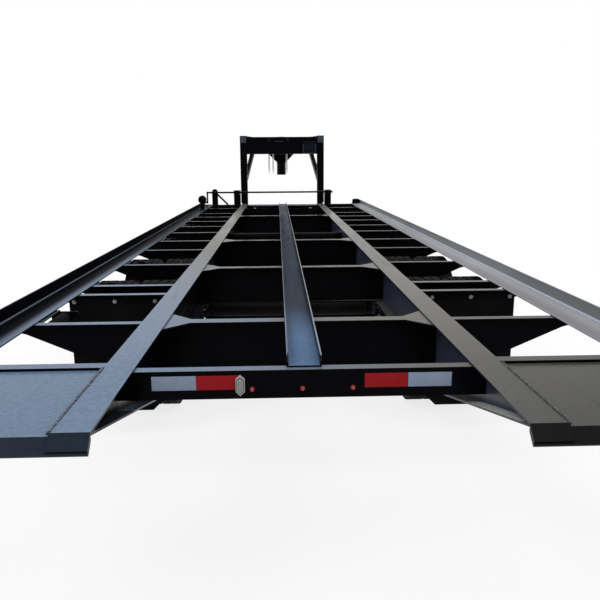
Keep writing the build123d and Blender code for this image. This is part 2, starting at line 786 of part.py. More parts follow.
# Tyres and wheels: a pair on each side of each axle
dual_x = (inner_tyre_x + outer_tyre_x) / 2
tyre_half = tyre_width / 2
tread_half = tyre_half - tread_inset
widest_radius = (rim_radius + tyre_radius) / 2 + widest_above_middle
bead_half = rim_width / 2 - rim_wall - seat_clearance
for axle_name, axle_y in axles:
    for side_name, side in sides:
        with BuildPart() as tyres:
            for tyre_x in (inner_tyre_x, outer_tyre_x):
                spin_plane = Plane(
                    origin=(side * tyre_x, axle_y, tyre_radius), x_dir=(1, 0, 0), z_dir=(0, -1, 0)
                )
                with BuildSketch(spin_plane):
                    with BuildLine():
                        Polyline(
                            (-bead_half, rim_radius + seat_clearance),
                            (-bead_half, rim_flange_radius + seat_clearance),
                            (-tyre_half + bead_bulge_inset, rim_flange_radius + bead_bulge_height),
                            (-tyre_half, widest_radius),
                            (-tyre_half + shoulder_inset, tyre_radius - shoulder_height),
                            (-tread_half, tyre_radius - shoulder_drop),
                            (-tread_half / 2, tyre_radius),
                            (tread_half / 2, tyre_radius),
                            (tread_half, tyre_radius - shoulder_drop),
                            (tyre_half - shoulder_inset, tyre_radius - shoulder_height),
                            (tyre_half, widest_radius),
                            (tyre_half - bead_bulge_inset, rim_flange_radius + bead_bulge_height),
                            (bead_half, rim_flange_radius + seat_clearance),
                            (bead_half, rim_radius + seat_clearance),
                            close=True,
                        )
                    make_face()
                revolve(axis=Axis((side * tyre_x, axle_y, tyre_radius), (1, 0, 0)))
        tyres.part.label = f"tyres_{axle_name}_{side_name}"
        export_step(tyres.part, f"parts/tyres_{axle_name}_{side_name}.step")

        with BuildPart() as wheels:
            hub_plane = Plane(
                origin=(side * dual_x, axle_y, tyre_radius), x_dir=(side, 0, 0), z_dir=(0, -side, 0)
            )
            spin_axis = Axis((side * dual_x, axle_y, tyre_radius), (1, 0, 0))
            for tyre_x, dish in ((inner_tyre_x, 1), (outer_tyre_x, -1)):
                middle = tyre_x - dual_x
                disc = dish * rim_wall
                with BuildSketch(hub_plane):
                    with BuildLine():
                        Polyline(
                            (middle - rim_width / 2, rim_flange_radius),
                            (middle - rim_width / 2, rim_radius - rim_wall),
                            (middle + rim_width / 2, rim_radius - rim_wall),
                            (middle + rim_width / 2, rim_flange_radius),
                            (middle + rim_width / 2 - rim_wall, rim_flange_radius),
                            (middle + rim_width / 2 - rim_wall, rim_radius),
                            (middle - rim_width / 2 + rim_wall, rim_radius),
                            (middle - rim_width / 2 + rim_wall, rim_flange_radius),
                            close=True,
                        )
                    make_face()
                    with BuildLine():
                        Polyline(
                            (0, hub_radius - rim_wall),
                            (0, hub_flange_radius),
                            (middle + disc * 3, rim_radius - rim_wall / 2),
                            (middle + disc * 2, rim_radius - rim_wall / 2),
                            (-disc, hub_flange_radius),
                            (-disc, hub_radius - rim_wall),
                            close=True,
                        )
                    make_face()
                revolve(axis=spin_axis)
            with BuildSketch(hub_plane):
                with BuildLine():
                    Polyline(
                        (drum_start_x - dual_x, spindle_radius + pin_clearance),
                        (drum_start_x - dual_x, spindle_radius + drum_wall),
                        (drum_start_x - dual_x + hub_neck_length, spindle_radius + drum_wall),
                        (-drum_wall, hub_radius),
                        (hub_end_x - dual_x - hub_chamfer, hub_radius),
                        (hub_end_x - dual_x, hub_radius - hub_chamfer),
                        (hub_end_x - dual_x, 0),
                        (spindle_end_x - dual_x + side_clearance, 0),
                        (spindle_end_x - dual_x + side_clearance, spindle_radius + pin_clearance),
                        close=True,
                    )
                make_face()
                with BuildLine():
                    Polyline(
                        (drum_start_x - dual_x, drum_radius),
                        (drum_start_x - dual_x, drum_radius - drum_wall),
                        (-4 * drum_wall, drum_radius - drum_wall),
                        (-4 * drum_wall, hub_radius - drum_wall),
                        (-2 * drum_wall, hub_radius - drum_wall),
                        (-2 * drum_wall, drum_radius),
                        close=True,
                    )
                make_face()
                with BuildLine():
                    Polyline(
                        (-3 * drum_wall, hub_radius - drum_wall),
                        (-3 * drum_wall, hub_flange_radius - drum_wall),
                        (0, hub_flange_radius - drum_wall),
                        (0, hub_radius - drum_wall),
                        close=True,
                    )
                make_face()
            revolve(axis=spin_axis)
        wheels.part.label = f"wheels_{axle_name}_{side_name}"
        export_step(wheels.part, f"parts/wheels_{axle_name}_{side_name}.step")

# Landing legs: outer tube with its gearbox and bracket, and the drop leg with its foot
leg_y = front_y + leg_gap + leg_tube / 2
web_front_y = front_y - outrigger_flange_width / 2 + outrigger_web / 2
for side_name, side in sides:
    with BuildPart() as landing_leg:
        with BuildSketch(Plane.XY.offset(leg_tube_bottom)):
            with Locations((side * leg_x, leg_y)):
                Rectangle(leg_tube, leg_tube)
                Rectangle(leg_tube - 2 * leg_wall, leg_tube - 2 * leg_wall, mode=Mode.SUBTRACT)
        extrude(amount=leg_tube_top - leg_tube_bottom)
        with BuildSketch(Plane.XY.offset(leg_tube_top - gearbox_height)):
            with Locations((side * leg_x, leg_y - gearbox_back / 2)):
                Rectangle(gearbox_width, leg_tube + gearbox_back)
        extrude(amount=gearbox_height)
        fillet(landing_leg.edges().group_by(Axis.Z)[-1], radius=leg_wall)
        with BuildSketch(Plane.XY.offset(leg_bracket_bottom)):
            with Locations((side * leg_x, (web_front_y + front_y + leg_gap) / 2)):
                Rectangle(leg_bracket_width, front_y + leg_gap - web_front_y)
        extrude(amount=leg_bracket_top - leg_bracket_bottom)
    landing_leg.part.label = f"landing_leg_{side_name}"
    export_step(landing_leg.part, f"parts/landing_leg_{side_name}.step")
    with BuildPart() as drop_leg:
        with BuildSketch(Plane.XY.offset(foot_thickness)):
            with Locations((side * leg_x, leg_y)):
                Rectangle(
                    leg_tube - 2 * leg_wall - 2 * seat_clearance,
                    leg_tube - 2 * leg_wall - 2 * seat_clearance,
                )
        extrude(amount=drop_leg_top - foot_thickness)
        with BuildSketch():
            with Locations((side * leg_x, leg_y)):
                RectangleRounded(foot_size, foot_size, foot_thickness)
        extrude(amount=foot_thickness)
    drop_leg.part.label = f"drop_leg_{side_name}"
    export_step(drop_leg.part, f"parts/drop_leg_{side_name}.step")

# Cross shaft between the gearboxes, and its outer end with the folded crank
shaft_y = front_y - shaft_back
shaft_z = deck_top + shaft_height
gearbox_inner_x = leg_x - gearbox_width / 2
gearbox_outer_x = leg_x + gearbox_width / 2
with BuildPart() as landing_shaft:
    with BuildSketch(facing_right(-gearbox_inner_x)):
        with Locations((shaft_y, shaft_z)):
            Circle(shaft_radius)
    extrude(amount=2 * gearbox_inner_x)
    with BuildSketch(facing_right(gearbox_outer_x)):
        with Locations((shaft_y, shaft_z)):
            Circle(shaft_radius)
    extrude(amount=shaft_stub)
    with BuildSketch(facing_right(-crank_x - shaft_radius)):
        with Locations((shaft_y, shaft_z)):
            Circle(shaft_radius)
    extrude(amount=crank_x + shaft_radius - gearbox_outer_x)
    with BuildSketch(Plane.XY.offset(shaft_z - crank_drop - crank_bar_width / 2)):
        with Locations((-crank_x - shaft_radius + crank_bar_thickness / 2, shaft_y)):
            Rectangle(crank_bar_thickness, crank_bar_width)
    extrude(amount=crank_drop + crank_bar_width)
    with BuildSketch(facing_right(-crank_x - crank_grip)):
        with Locations((shaft_y, shaft_z - crank_drop)):
            Circle(shaft_radius)
    extrude(amount=crank_grip - shaft_radius)
landing_shaft.part.label = "landing_leg_shaft"
export_step(landing_shaft.part, "parts/landing_leg_shaft.step")

# Post with a rounded top that carries the shaft's outer end, and its sloping brace
with BuildPart() as front_post:
    with BuildSketch(facing_back(shaft_y + shaft_radius + post_depth)):
        with Locations((-post_x, side_under + (post_height - post_width / 2) / 2)):
            Rectangle(post_width, post_height - post_width / 2)
        with Locations((-post_x, side_under + post_height - post_width / 2)):
            Circle(post_width / 2)
    extrude(amount=post_depth)
    brace_y = shaft_y + shaft_radius + post_depth / 2
    brace_foot = Vector(-post_x + post_width / 2 + brace_reach, brace_y, side_under)
    brace_head = Vector(-post_x, brace_y, side_under + post_height - post_width / 2)
    with BuildSketch(Plane(origin=brace_foot, z_dir=brace_head - brace_foot)):
        Circle(brace_radius)
    extrude(amount=(brace_head - brace_foot).length)
    with BuildSketch(Plane.XY.offset(side_under)):
        Rectangle(cutting_size, cutting_size)
    extrude(amount=-rail_depth, mode=Mode.SUBTRACT)
    with BuildSketch(Plane.XY.offset(side_under)):
        with Locations((-half_width, front_y)):
            Rectangle(2 * side_leg, 2 * side_leg)
    extrude(amount=side_thickness, mode=Mode.SUBTRACT)
front_post.part.label = "front_post"
export_step(front_post.part, "parts/front_post.step")

# Hinge plates of the neck, two each side, welded to the edges of the rail's flanges
hinge_y = front_y + hinge_ahead
plate_under = hinge_z - hinge_plate_round
for side_name, side in sides:
    with BuildPart() as hinge_plates:
        for face_x in (rail_inner - hinge_plate_thickness, rail_outer):
            start_x = min(side * face_x, side * (face_x + hinge_plate_thickness))
            with BuildSketch(facing_right(start_x)):
                with BuildLine():
                    Polyline(
                        (front_y - hinge_plate_back, rail_bottom + flange_thickness),
                        (front_y - hinge_plate_back, rail_bottom - flange_thickness),
                        (hinge_y - hinge_plate_round, plate_under),
                        (hinge_y, plate_under),
                        (hinge_y + hinge_plate_round, hinge_z),
                        (front_y + hinge_plate_round / 2, hinge_plate_top),
                        (front_y - hinge_plate_round, hinge_plate_top),
                        close=True,
                    )
                make_face()
                with Locations((hinge_y, hinge_z)):
                    Circle(hinge_pin_radius + pin_clearance, mode=Mode.SUBTRACT)
            extrude(amount=hinge_plate_thickness)
    hinge_plates.part.label = f"neck_hinge_{side_name}"
    export_step(hinge_plates.part, f"parts/neck_hinge_{side_name}.step")

# Uprights of the neck, each with a cheek plate outside and its hinge pin through its rounded foot
upright_front_y = hinge_y + upright_depth / 2
upright_back_y = hinge_y - upright_depth / 2
pin_half = flange_width / 2 + hinge_plate_thickness
for side_name, side in sides:
    with BuildPart() as upright:
        with BuildSketch(facing_right(side * rail_x)):
            with Locations((hinge_y, (hinge_z + neck_top) / 2)):
                Rectangle(upright_depth, neck_top - hinge_z)
            with Locations((hinge_y, hinge_z)):
                Circle(upright_depth / 2)
        extrude(amount=upright_width / 2, both=True)
        with BuildSketch(facing_right(side * (rail_x + (upright_width + upright_cheek) / 2))):
            with Locations((hinge_y, (upright_cheek_bottom + neck_top) / 2)):
                Rectangle(upright_depth, neck_top - upright_cheek_bottom)
        extrude(amount=upright_cheek / 2, both=True)
        with BuildSketch(facing_right(side * rail_x)):
            with Locations((hinge_y, hinge_z)):
                Circle(hinge_pin_radius)
        extrude(amount=pin_half, both=True)
    upright.part.label = f"neck_upright_{side_name}"
    export_step(upright.part, f"parts/neck_upright_{side_name}.step")

# Top box across the uprights
upright_inner_x = rail_x - upright_width / 2
with BuildPart() as top_box:
    with BuildSketch(facing_right(-upright_inner_x)):
        with Locations((hinge_y, neck_top - top_box_drop - top_box_height / 2)):
            Rectangle(upright_depth, top_box_height)
    extrude(amount=2 * upright_inner_x)
top_box.part.label = "neck_top_box"
export_step(top_box.part, "parts/neck_top_box.step")

# Neck beams that close in towards the coupler, each with its sloping brace
beam_front_y = front_y + neck_beam_reach
neck_beam_under = neck_top - neck_beam_height
brace_slant = 1.5 * neck_brace_width
for side_name, side in sides:
    with BuildPart() as neck_beam:
        with BuildSketch(Plane.XY.offset(neck_beam_under)):
            with BuildLine():
                Polyline(
                    (side * (rail_x - neck_beam_width / 2), upright_front_y),
                    (side * (rail_x + neck_beam_width / 2), upright_front_y),
                    (side * (neck_beam_front_x + neck_beam_width / 2), beam_front_y),
                    (side * (neck_beam_front_x - neck_beam_width / 2), beam_front_y),
                    close=True,
                )
            make_face()
        extrude(amount=neck_beam_height)
    neck_beam.part.label = f"neck_beam_{side_name}"
    export_step(neck_beam.part, f"parts/neck_beam_{side_name}.step")
    brace_run = neck_brace_head * (rail_x - neck_beam_front_x) / (beam_front_y - upright_front_y)
    with BuildPart() as neck_brace:
        with BuildSketch(facing_right(side * rail_x)):
            with BuildLine():
                Polyline(
                    (upright_front_y - neck_brace_width / 2, neck_brace_foot),
                    (upright_front_y - neck_brace_width / 2, neck_brace_foot + brace_slant),
                    (upright_front_y + neck_brace_head - brace_slant, neck_beam_under),
                    (upright_front_y + neck_brace_head, neck_beam_under),
                    close=True,
                )
            make_face()
        extrude(amount=neck_brace_width / 2, both=True)
    turned = neck_brace.part.rotate(
        Axis((side * rail_x, upright_front_y, 0), (0, 0, 1)),
        side * degrees(atan2(brace_run, neck_brace_head)),
    )
    with BuildPart() as seated_brace:
        add(turned)
        with BuildSketch(facing_back(upright_front_y)):
            Rectangle(cutting_size, cutting_size)
        extrude(amount=upright_depth, mode=Mode.SUBTRACT)
    seated_brace.part.label = f"neck_brace_{side_name}"
    export_step(seated_brace.part, f"parts/neck_brace_{side_name}.step")

# Head of the neck: a box with a round sleeve down through it and a sloping plate behind the sleeve
head_front_y = front_y + neck_length
sleeve_y = front_y + sleeve_ahead
with BuildPart() as neck_head:
    with BuildSketch(Plane.XY.offset(neck_beam_under)):
        with Locations((0, (beam_front_y + head_front_y) / 2)):
            Rectangle(2 * head_half_width, head_front_y - beam_front_y)
    extrude(amount=neck_beam_height)
    fillet(neck_head.edges().filter_by(Axis.Z).group_by(Axis.Y)[-1], radius=head_half_width / 2)
    with BuildSketch(Plane.XY.offset(sleeve_bottom)):
        with Locations((0, sleeve_y)):
            Circle(sleeve_radius)
    extrude(amount=neck_top - sleeve_bottom)
    with BuildSketch(facing_back(sleeve_y - sleeve_radius + funnel_thickness)):
        with BuildLine():
            Polyline(
                (-head_half_width, neck_beam_under),
                (head_half_width, neck_beam_under),
                (head_half_width, funnel_shoulder_z),
                (sleeve_radius, funnel_foot_z),
                (-sleeve_radius, funnel_foot_z),
                (-head_half_width, funnel_shoulder_z),
                close=True,
            )
        make_face()
    extrude(amount=2 * funnel_thickness)
    with BuildSketch(Plane.XY.offset(sleeve_bottom)):
        with Locations((0, sleeve_y)):
            Circle(coupler_radius + seat_clearance)
    extrude(amount=neck_length, mode=Mode.SUBTRACT)
neck_head.part.label = "neck_head"
export_step(neck_head.part, "parts/neck_head.step")

# Coupler tube with the ball socket at its lower end
with BuildPart() as coupler:
    with BuildSketch(Plane.XY.offset(coupler_bottom)):
        with Locations((0, sleeve_y)):
            Circle(coupler_radius)
    extrude(amount=coupler_top - coupler_bottom)
    with BuildSketch(Plane.XY.offset(coupler_bottom)):
        with Locations((0, sleeve_y)):
            Circle(coupler_head_radius)
    extrude(amount=coupler_head_height)
    with BuildSketch(Plane.XY.offset(coupler_bottom)):
        with Locations((0, sleeve_y)):
            Circle(ball_radius)
    extrude(amount=ball_depth, mode=Mode.SUBTRACT)
coupler.part.label = "coupler_tube"
export_step(coupler.part, "parts/coupler_tube.step")

# Safety chains, plain hanging lengths behind the coupler
with BuildPart() as safety_chains:
    with BuildSketch(Plane.XY.offset(neck_beam_under - chain_length)):
        with Locations(*[(x, sleeve_y - chain_back) for x in chain_places]):
            Rectangle(chain_width, chain_width)
    extrude(amount=chain_length)
safety_chains.part.label = "safety_chains"
export_step(safety_chains.part, "parts/safety_chains.step")

# Equipment box on the back of the neck's top box
with BuildPart() as equipment_box:
    with BuildSketch(facing_back(upright_back_y)):
        with Locations((box_x, neck_top - top_box_drop - top_box_height + box_size / 2)):
            RectangleRounded(box_width, box_size, leg_wall)
    extrude(amount=box_depth)
equipment_box.part.label = "equipment_box"
export_step(equipment_box.part, "parts/equipment_box.step")

# Lift cylinders: their line at rest runs from the base pin up to the eye on the neck
base_y = front_y - cylinder_base_back
eye_z = hinge_z + cylinder_eye_height
cylinder_run = hinge_y - base_y
cylinder_rise = eye_z - cylinder_base_z
cylinder_span = hypot(cylinder_run, cylinder_rise)
cylinder_slope = atan2(cylinder_rise, cylinder_run)
rod_along = Vector(0, cos(cylinder_slope), sin(cylinder_slope))
with BuildPart() as lift_barrels:
    for _, side in sides:
        base = Vector(side * cylinder_x, base_y, cylinder_base_z)
        barrel_foot = base + rod_along * barrel_start
        bore_foot = barrel_foot + rod_along * barrel_end
        with BuildSketch(Plane(origin=barrel_foot, x_dir=(1, 0, 0), z_dir=rod_along)):
            Circle(barrel_radius)
        extrude(amount=barrel_length - barrel_start)
        with BuildSketch(Plane(origin=base, x_dir=(1, 0, 0), z_dir=rod_along)):
            Rectangle(eye_width, eye_width)
        extrude(amount=barrel_start)
        with BuildSketch(Plane(origin=bore_foot, x_dir=(1, 0, 0), z_dir=rod_along)):
            Circle(rod_radius + pin_clearance)
        extrude(amount=barrel_length, mode=Mode.SUBTRACT)
        with BuildSketch(facing_right(side * cylinder_x)):
            with Locations((base_y, cylinder_base_z)):
                Circle(eye_radius)
        extrude(amount=eye_width / 2, both=True)
        with BuildSketch(facing_right(side * cylinder_x)):
            with Locations((base_y, cylinder_base_z)):
                Circle(cylinder_pin_radius + pin_clearance)
        extrude(amount=eye_width, both=True, mode=Mode.SUBTRACT)
lift_barrels.part.label = "lift_barrels"
export_step(lift_barrels.part, "parts/lift_barrels.step")

with BuildPart() as lift_rods:
    for _, side in sides:
        rod_start = Vector(side * cylinder_x, base_y, cylinder_base_z) + rod_along * rod_inner_end
        with BuildSketch(Plane(origin=rod_start, x_dir=(1, 0, 0), z_dir=rod_along)):
            Circle(rod_radius)
        extrude(amount=cylinder_span - rod_inner_end)
        with BuildSketch(facing_right(side * cylinder_x)):
            with Locations((hinge_y, eye_z)):
                Circle(eye_radius)
        extrude(amount=eye_width / 2, both=True)
lift_rods.part.label = "lift_rods"
export_step(lift_rods.part, "parts/lift_rods.step")

# Cross tube under the deck with its web plate and the lugs and pins of the cylinders' base
# eyes, and the round spreader tube between the rails
beam_centre_y = base_y - cylinder_beam_gap - cylinder_beam_size / 2
beam_top_z = rail_bottom + flange_thickness + cylinder_beam_size
with BuildPart() as cylinder_beam:
    with BuildSketch(facing_right(-web_inner)):
        with Locations((beam_centre_y, beam_top_z - cylinder_beam_size / 2)):
            Rectangle(cylinder_beam_size, cylinder_beam_size)
        with Locations((beam_centre_y, (flange_under + beam_top_z) / 2)):
            Rectangle(beam_web, flange_under - beam_top_z)
        with Locations((tail_y + fourth_station, spreader_height)):
            Circle(spreader_radius)
    extrude(amount=2 * web_inner)
    for _, side in sides:
        for cheek in (-1, 1):
            cheek_x = side * cylinder_x + cheek * (eye_width + lug_thickness + 2 * side_clearance) / 2
            with BuildSketch(facing_right(cheek_x)):
                with Locations((base_y, cylinder_base_z)):
                    Circle(lug_round)
                with Locations(((base_y + beam_centre_y) / 2, cylinder_base_z)):
                    Rectangle(base_y - beam_centre_y, 2 * lug_round)
            extrude(amount=lug_thickness / 2, both=True)
        with BuildSketch(facing_right(side * cylinder_x)):
            with Locations((base_y, cylinder_base_z)):
                Circle(cylinder_pin_radius)
        extrude(amount=eye_width / 2 + side_clearance + lug_thickness, both=True)
cylinder_beam.part.label = "cylinder_beam"
export_step(cylinder_beam.part, "parts/cylinder_beam.step")

# Lower tube of the neck, with the lugs that hold the rods' eyes
lower_tube_y = hinge_y + lower_tube_ahead + lower_tube_size / 2
with BuildPart() as lower_tube:
    with BuildSketch(facing_right(-upright_inner_x)):
        with Locations((lower_tube_y, eye_z)):
            Rectangle(lower_tube_size, lower_tube_size)
    extrude(amount=2 * upright_inner_x)
    for _, side in sides:
        for cheek in (-1, 1):
            cheek_x = side * cylinder_x + cheek * (eye_width + lug_thickness + 2 * side_clearance) / 2
            with BuildSketch(facing_right(cheek_x)):
                with Locations((hinge_y, eye_z)):
                    Circle(eye_radius)
                with Locations(((hinge_y + lower_tube_y) / 2, eye_z)):
                    Rectangle(lower_tube_y - hinge_y, lower_tube_size)
            extrude(amount=lug_thickness / 2, both=True)
lower_tube.part.label = "neck_lower_tube"
export_step(lower_tube.part, "parts/neck_lower_tube.step")
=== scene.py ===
"""Looks of the open-deck tilt trailer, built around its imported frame.

Metres. +X is right, +Y is forward, +Z is up, and the tail is at -Y.
"""

from __future__ import annotations

import logging
import math
from dataclasses import dataclass
from enum import Enum
from typing import Any, Iterable, Iterator, Sequence

import bmesh
import bpy
from mathutils import Matrix, Vector

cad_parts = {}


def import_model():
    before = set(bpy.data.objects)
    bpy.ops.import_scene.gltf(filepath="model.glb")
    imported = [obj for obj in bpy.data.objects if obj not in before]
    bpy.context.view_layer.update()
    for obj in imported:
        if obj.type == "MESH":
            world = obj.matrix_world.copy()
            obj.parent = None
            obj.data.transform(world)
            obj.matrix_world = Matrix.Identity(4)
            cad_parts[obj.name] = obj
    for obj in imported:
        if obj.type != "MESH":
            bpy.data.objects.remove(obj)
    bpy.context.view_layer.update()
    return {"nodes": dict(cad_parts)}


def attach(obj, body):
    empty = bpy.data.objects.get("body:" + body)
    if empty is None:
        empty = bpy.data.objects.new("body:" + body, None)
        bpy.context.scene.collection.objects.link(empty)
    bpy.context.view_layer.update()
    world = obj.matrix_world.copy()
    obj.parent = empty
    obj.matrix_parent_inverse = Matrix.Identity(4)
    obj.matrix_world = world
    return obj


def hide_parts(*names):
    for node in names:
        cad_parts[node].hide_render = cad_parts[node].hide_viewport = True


LOG = logging.getLogger("trailer")
Point = Sequence[float]
Line = Sequence[Point]
Placing = tuple[Point, Point]
Colour = tuple[float, float, float]
Span = tuple[float, float]
Finish = bpy.types.Material
SEED = 7
SMOOTH_ANGLE = 35.0
AXIS_RADIUS = 1e-6
MERGE_GAP = 5e-6
ORIGIN = (0.0, 0.0, 0.0)
X_AXIS = (1.0, 0.0, 0.0)
Y_AXIS = (0.0, 1.0, 0.0)
Z_AXIS = (0.0, 0.0, 1.0)
BACKWARDS = (0.0, -1.0, 0.0)
WHITE = (1.0, 1.0, 1.0)


class Choice(Enum):
    """One of several things of a kind, as the frame's nodes name them."""

    @property
    def word(self) -> str:
        """The choice's name as the frame's nodes spell it."""
        return self.name.lower()


class Side(Choice):
    """The two sides of the trailer and their sign of X."""

    LEFT = -1
    RIGHT = 1

    @property
    def out(self) -> Vector:
        """Direction out of the trailer on that side."""
        return Vector((self.value, 0.0, 0.0))


class Axle(Choice):
    """The two axles and their sign along the trailer."""

    REAR = -1
    FRONT = 1


class Slot(Enum):
    """Material slots of the record."""

    PAINT = "gloss_black_paint"
    UNDERCARRIAGE = "undercarriage_black"
    TYRE = "tyre_rubber"
    WHEEL = "wheel_steel"
    FLAP = "flap_rubber"
    LAMP = "lamp_lens"
    ZINC = "zinc_chain"
    BOX = "dark_plastic"
    CHROME = "chrome_rod"


@dataclass(frozen=True)
class Layout:
    """Main places of the trailer, the same as in the part's source."""

    tail_y: float = -5.822
    front_y: float = 3.322
    deck_top: float = 0.825
    half_width: float = 1.300
    wheel_y: float = -3.000
    axle_half: float = 0.4445
    axle_z: float = 0.3935
    tyre_x: Span = (0.822, 1.089)
    hinge_y: float = 3.392
    hinge_z: float = 0.470
    sleeve_y: float = 5.662
    stations: tuple[float, ...] = (
        1.2043, 1.8258, 2.0748, 2.8218, 3.5688, 4.1633, 4.8509, 5.4663, 6.0872, 6.6833, 7.2713, 8.2488, 9.1215
    )

    def axle_y(self, axle: Axle) -> float:
        """Place of an axle along the trailer."""
        return self.wheel_y + axle.value * self.axle_half

    def outrigger_y(self, index: int) -> float:
        """Place of an outrigger along the trailer, counted from the tail."""
        return self.tail_y + self.stations[index]


LAYOUT = Layout()


# Node trees


class Field:
    """A node's output that takes part in Python expressions."""

    def __init__(self, nodes: "Nodes", socket: bpy.types.NodeSocket | None) -> None:
        """Wraps one output socket of a tree's node."""
        self.nodes = nodes
        self.socket = socket

    def _join(self, operation: str, first: Any, second: Any) -> "Field":
        """Adds a Math node.

        Args:
            operation: The Math node's operation.
            first: Number or field of the first input.
            second: Number or field of the second input.

        Returns:
            The node's result.
        """
        return self.nodes.node("ShaderNodeMath", {"operation": operation}, {0: first, 1: second})

    def __add__(self, other: Any) -> "Field":
        """Sum."""
        return self._join("ADD", self, other)

    def __radd__(self, other: Any) -> "Field":
        """Sum with the field on the right."""
        return self._join("ADD", other, self)

    def __sub__(self, other: Any) -> "Field":
        """Difference."""
        return self._join("SUBTRACT", self, other)

    def __rsub__(self, other: Any) -> "Field":
        """Difference with the field on the right."""
        return self._join("SUBTRACT", other, self)

    def __mul__(self, other: Any) -> "Field":
        """Product."""
        return self._join("MULTIPLY", self, other)

    def __rmul__(self, other: Any) -> "Field":
        """Product with the field on the right."""
        return self._join("MULTIPLY", other, self)

    def __neg__(self) -> "Field":
        """The field with its sign turned."""
        return 0.0 - self

    def between(self, low: float, high: float) -> "Field":
        """Ramps smoothly from 0 at low to 1 at high.

        Args:
            low: Value that gives 0.
            high: Value that gives 1.

        Returns:
            The clamped ramp.
        """
        inputs = {"Value": self, "From Min": low, "From Max": high}
        return self.nodes.node("ShaderNodeMapRange", {"interpolation_type": "SMOOTHSTEP"}, inputs)


class Nodes:
    """A node tree whose nodes all come from one method."""

    def __init__(self, tree: bpy.types.NodeTree) -> None:
        """Takes over a tree and empties it."""
        self.tree = tree
        tree.nodes.clear()

    def node(
        self,
        kind: str,
        settings: dict[str, Any] | None = None,
        inputs: dict[Any, Any] | None = None,
        output: Any = 0,
    ) -> Field:
        """Adds a node.

        Args:
            kind: The node's type.
            settings: Its settings, set before its sockets.
            inputs: Values or fields of its sockets, by name or number; a list feeds one socket several times.
            output: Name or number of the output to hand back.

        Returns:
            That output.
        """
        node = self.tree.nodes.new(kind)
        for key, value in (settings or {}).items():
            setattr(node, key, value)
        for key, value in (inputs or {}).items():
            for one in value if isinstance(value, list) else [value]:
                if isinstance(one, Field):
                    self.tree.links.new(one.socket, node.inputs[key])
                else:
                    node.inputs[key].default_value = one
        return Field(self, node.outputs[output] if node.outputs else None)

    def backdrop_rays(self) -> Field:
        """Finds the rays that see the backdrop, straight or by way of metal or glass.

        Returns:
            One or more for those rays, zero for the rays that light the trailer.
        """
        kinds = ("Is Camera Ray", "Is Glossy Ray", "Is Transmission Ray")
        straight, glossy, clear = (self.node("ShaderNodeLightPath", output=kind) for kind in kinds)
        return straight + glossy + clear


class Shader(Nodes):
    """A material's node tree."""

    def __init__(self, name: str) -> None:
        """Starts an empty material of that name."""
        self.material = bpy.data.materials.new(name)
        self.material.use_nodes = True
        super().__init__(self.material.node_tree)

    def place(self, scale: Point = (1.0, 1.0, 1.0)) -> Field:
        """Object coordinates, stretched by a scale."""
        spot = self.node("ShaderNodeTexCoord", output="Object")
        return self.node("ShaderNodeMapping", inputs={"Vector": spot, "Scale": tuple(scale)})

    def noise(self, scale: float, detail: float = 4.0, stretch: Point = (1.0, 1.0, 1.0)) -> Field:
        """Noise from 0 to 1.

        Args:
            scale: Cells in a metre.
            detail: Octaves.
            stretch: Scale of each axis, for streaks.

        Returns:
            The noise.
        """
        inputs = {"Vector": self.place(stretch), "Scale": scale, "Detail": detail}
        return self.node("ShaderNodeTexNoise", inputs=inputs)

    def blend(self, factor: Any, first: Any, second: Any) -> Field:
        """Mixes two colours.

        Args:
            factor: Share of the second colour.
            first: First colour or field.
            second: Second colour or field.

        Returns:
            The mixed colour.
        """
        first, second = ((*c, 1.0) if isinstance(c, tuple) else c for c in (first, second))
        return self.node("ShaderNodeMix", {"data_type": "RGBA"}, {0: factor, 6: first, 7: second}, 2)

    def axis(self, name: str) -> Field:
        """One of the object coordinates, in metres."""
        spot = self.node("ShaderNodeTexCoord", output="Object")
        return self.node("ShaderNodeSeparateXYZ", inputs={0: spot}, output=name)

    def facing(self, name: str) -> Field:
        """How far a surface faces along an axis, from -1 to 1."""
        normal = self.node("ShaderNodeNewGeometry", output="Normal")
        return self.node("ShaderNodeSeparateXYZ", inputs={0: normal}, output=name)

    def bump(self, height: Field, distance: float, strength: float) -> Field:
        """Turns a height into a bumped normal.

        Args:
            height: The height, from 0 to 1.
            distance: Metres that 1 stands for.
            strength: Share of the effect.

        Returns:
            The normal.
        """
        inputs = {"Height": height, "Distance": distance, "Strength": strength}
        return self.node("ShaderNodeBump", inputs=inputs)

    def surface(self, **inputs: Any) -> Finish:
        """Ends the tree in a Principled surface.

        Args:
            **inputs: Socket values, with underscores for spaces.

        Returns:
            The finished material.
        """
        named = {key.replace("_", " "): value for key, value in inputs.items()}
        shade = self.node("ShaderNodeBsdfPrincipled", inputs=named)
        self.node("ShaderNodeOutputMaterial", inputs={"Surface": shade})
        return self.material


# Finishes


@dataclass(frozen=True)
class Zones:
    """Stretches over which the gloss paint's painted sky reflection, painted shade and painted light change,
    in metres.

    Those along the trailer count backwards from its middle. The right tail's measure is X and half of
    that distance together.
    """

    middle_x: Span = (0.0, 0.5)
    main_rail_x: Span = (0.45, 0.60)
    right_plate_x: Span = (0.555, 0.565)
    low_z: Span = (0.60, 0.74)
    deck_z: Span = (0.80, 0.84)
    plate_z: Span = (0.800, 0.810)
    far_deck: Span = (2.6, 4.0)
    bumper_front: Span = (5.20, 5.28)
    bumper_back: Span = (5.305, 5.325)
    tail_lip: Span = (5.770, 5.782)
    right_tail: Span = (2.5, 3.9)


ZONES = Zones()


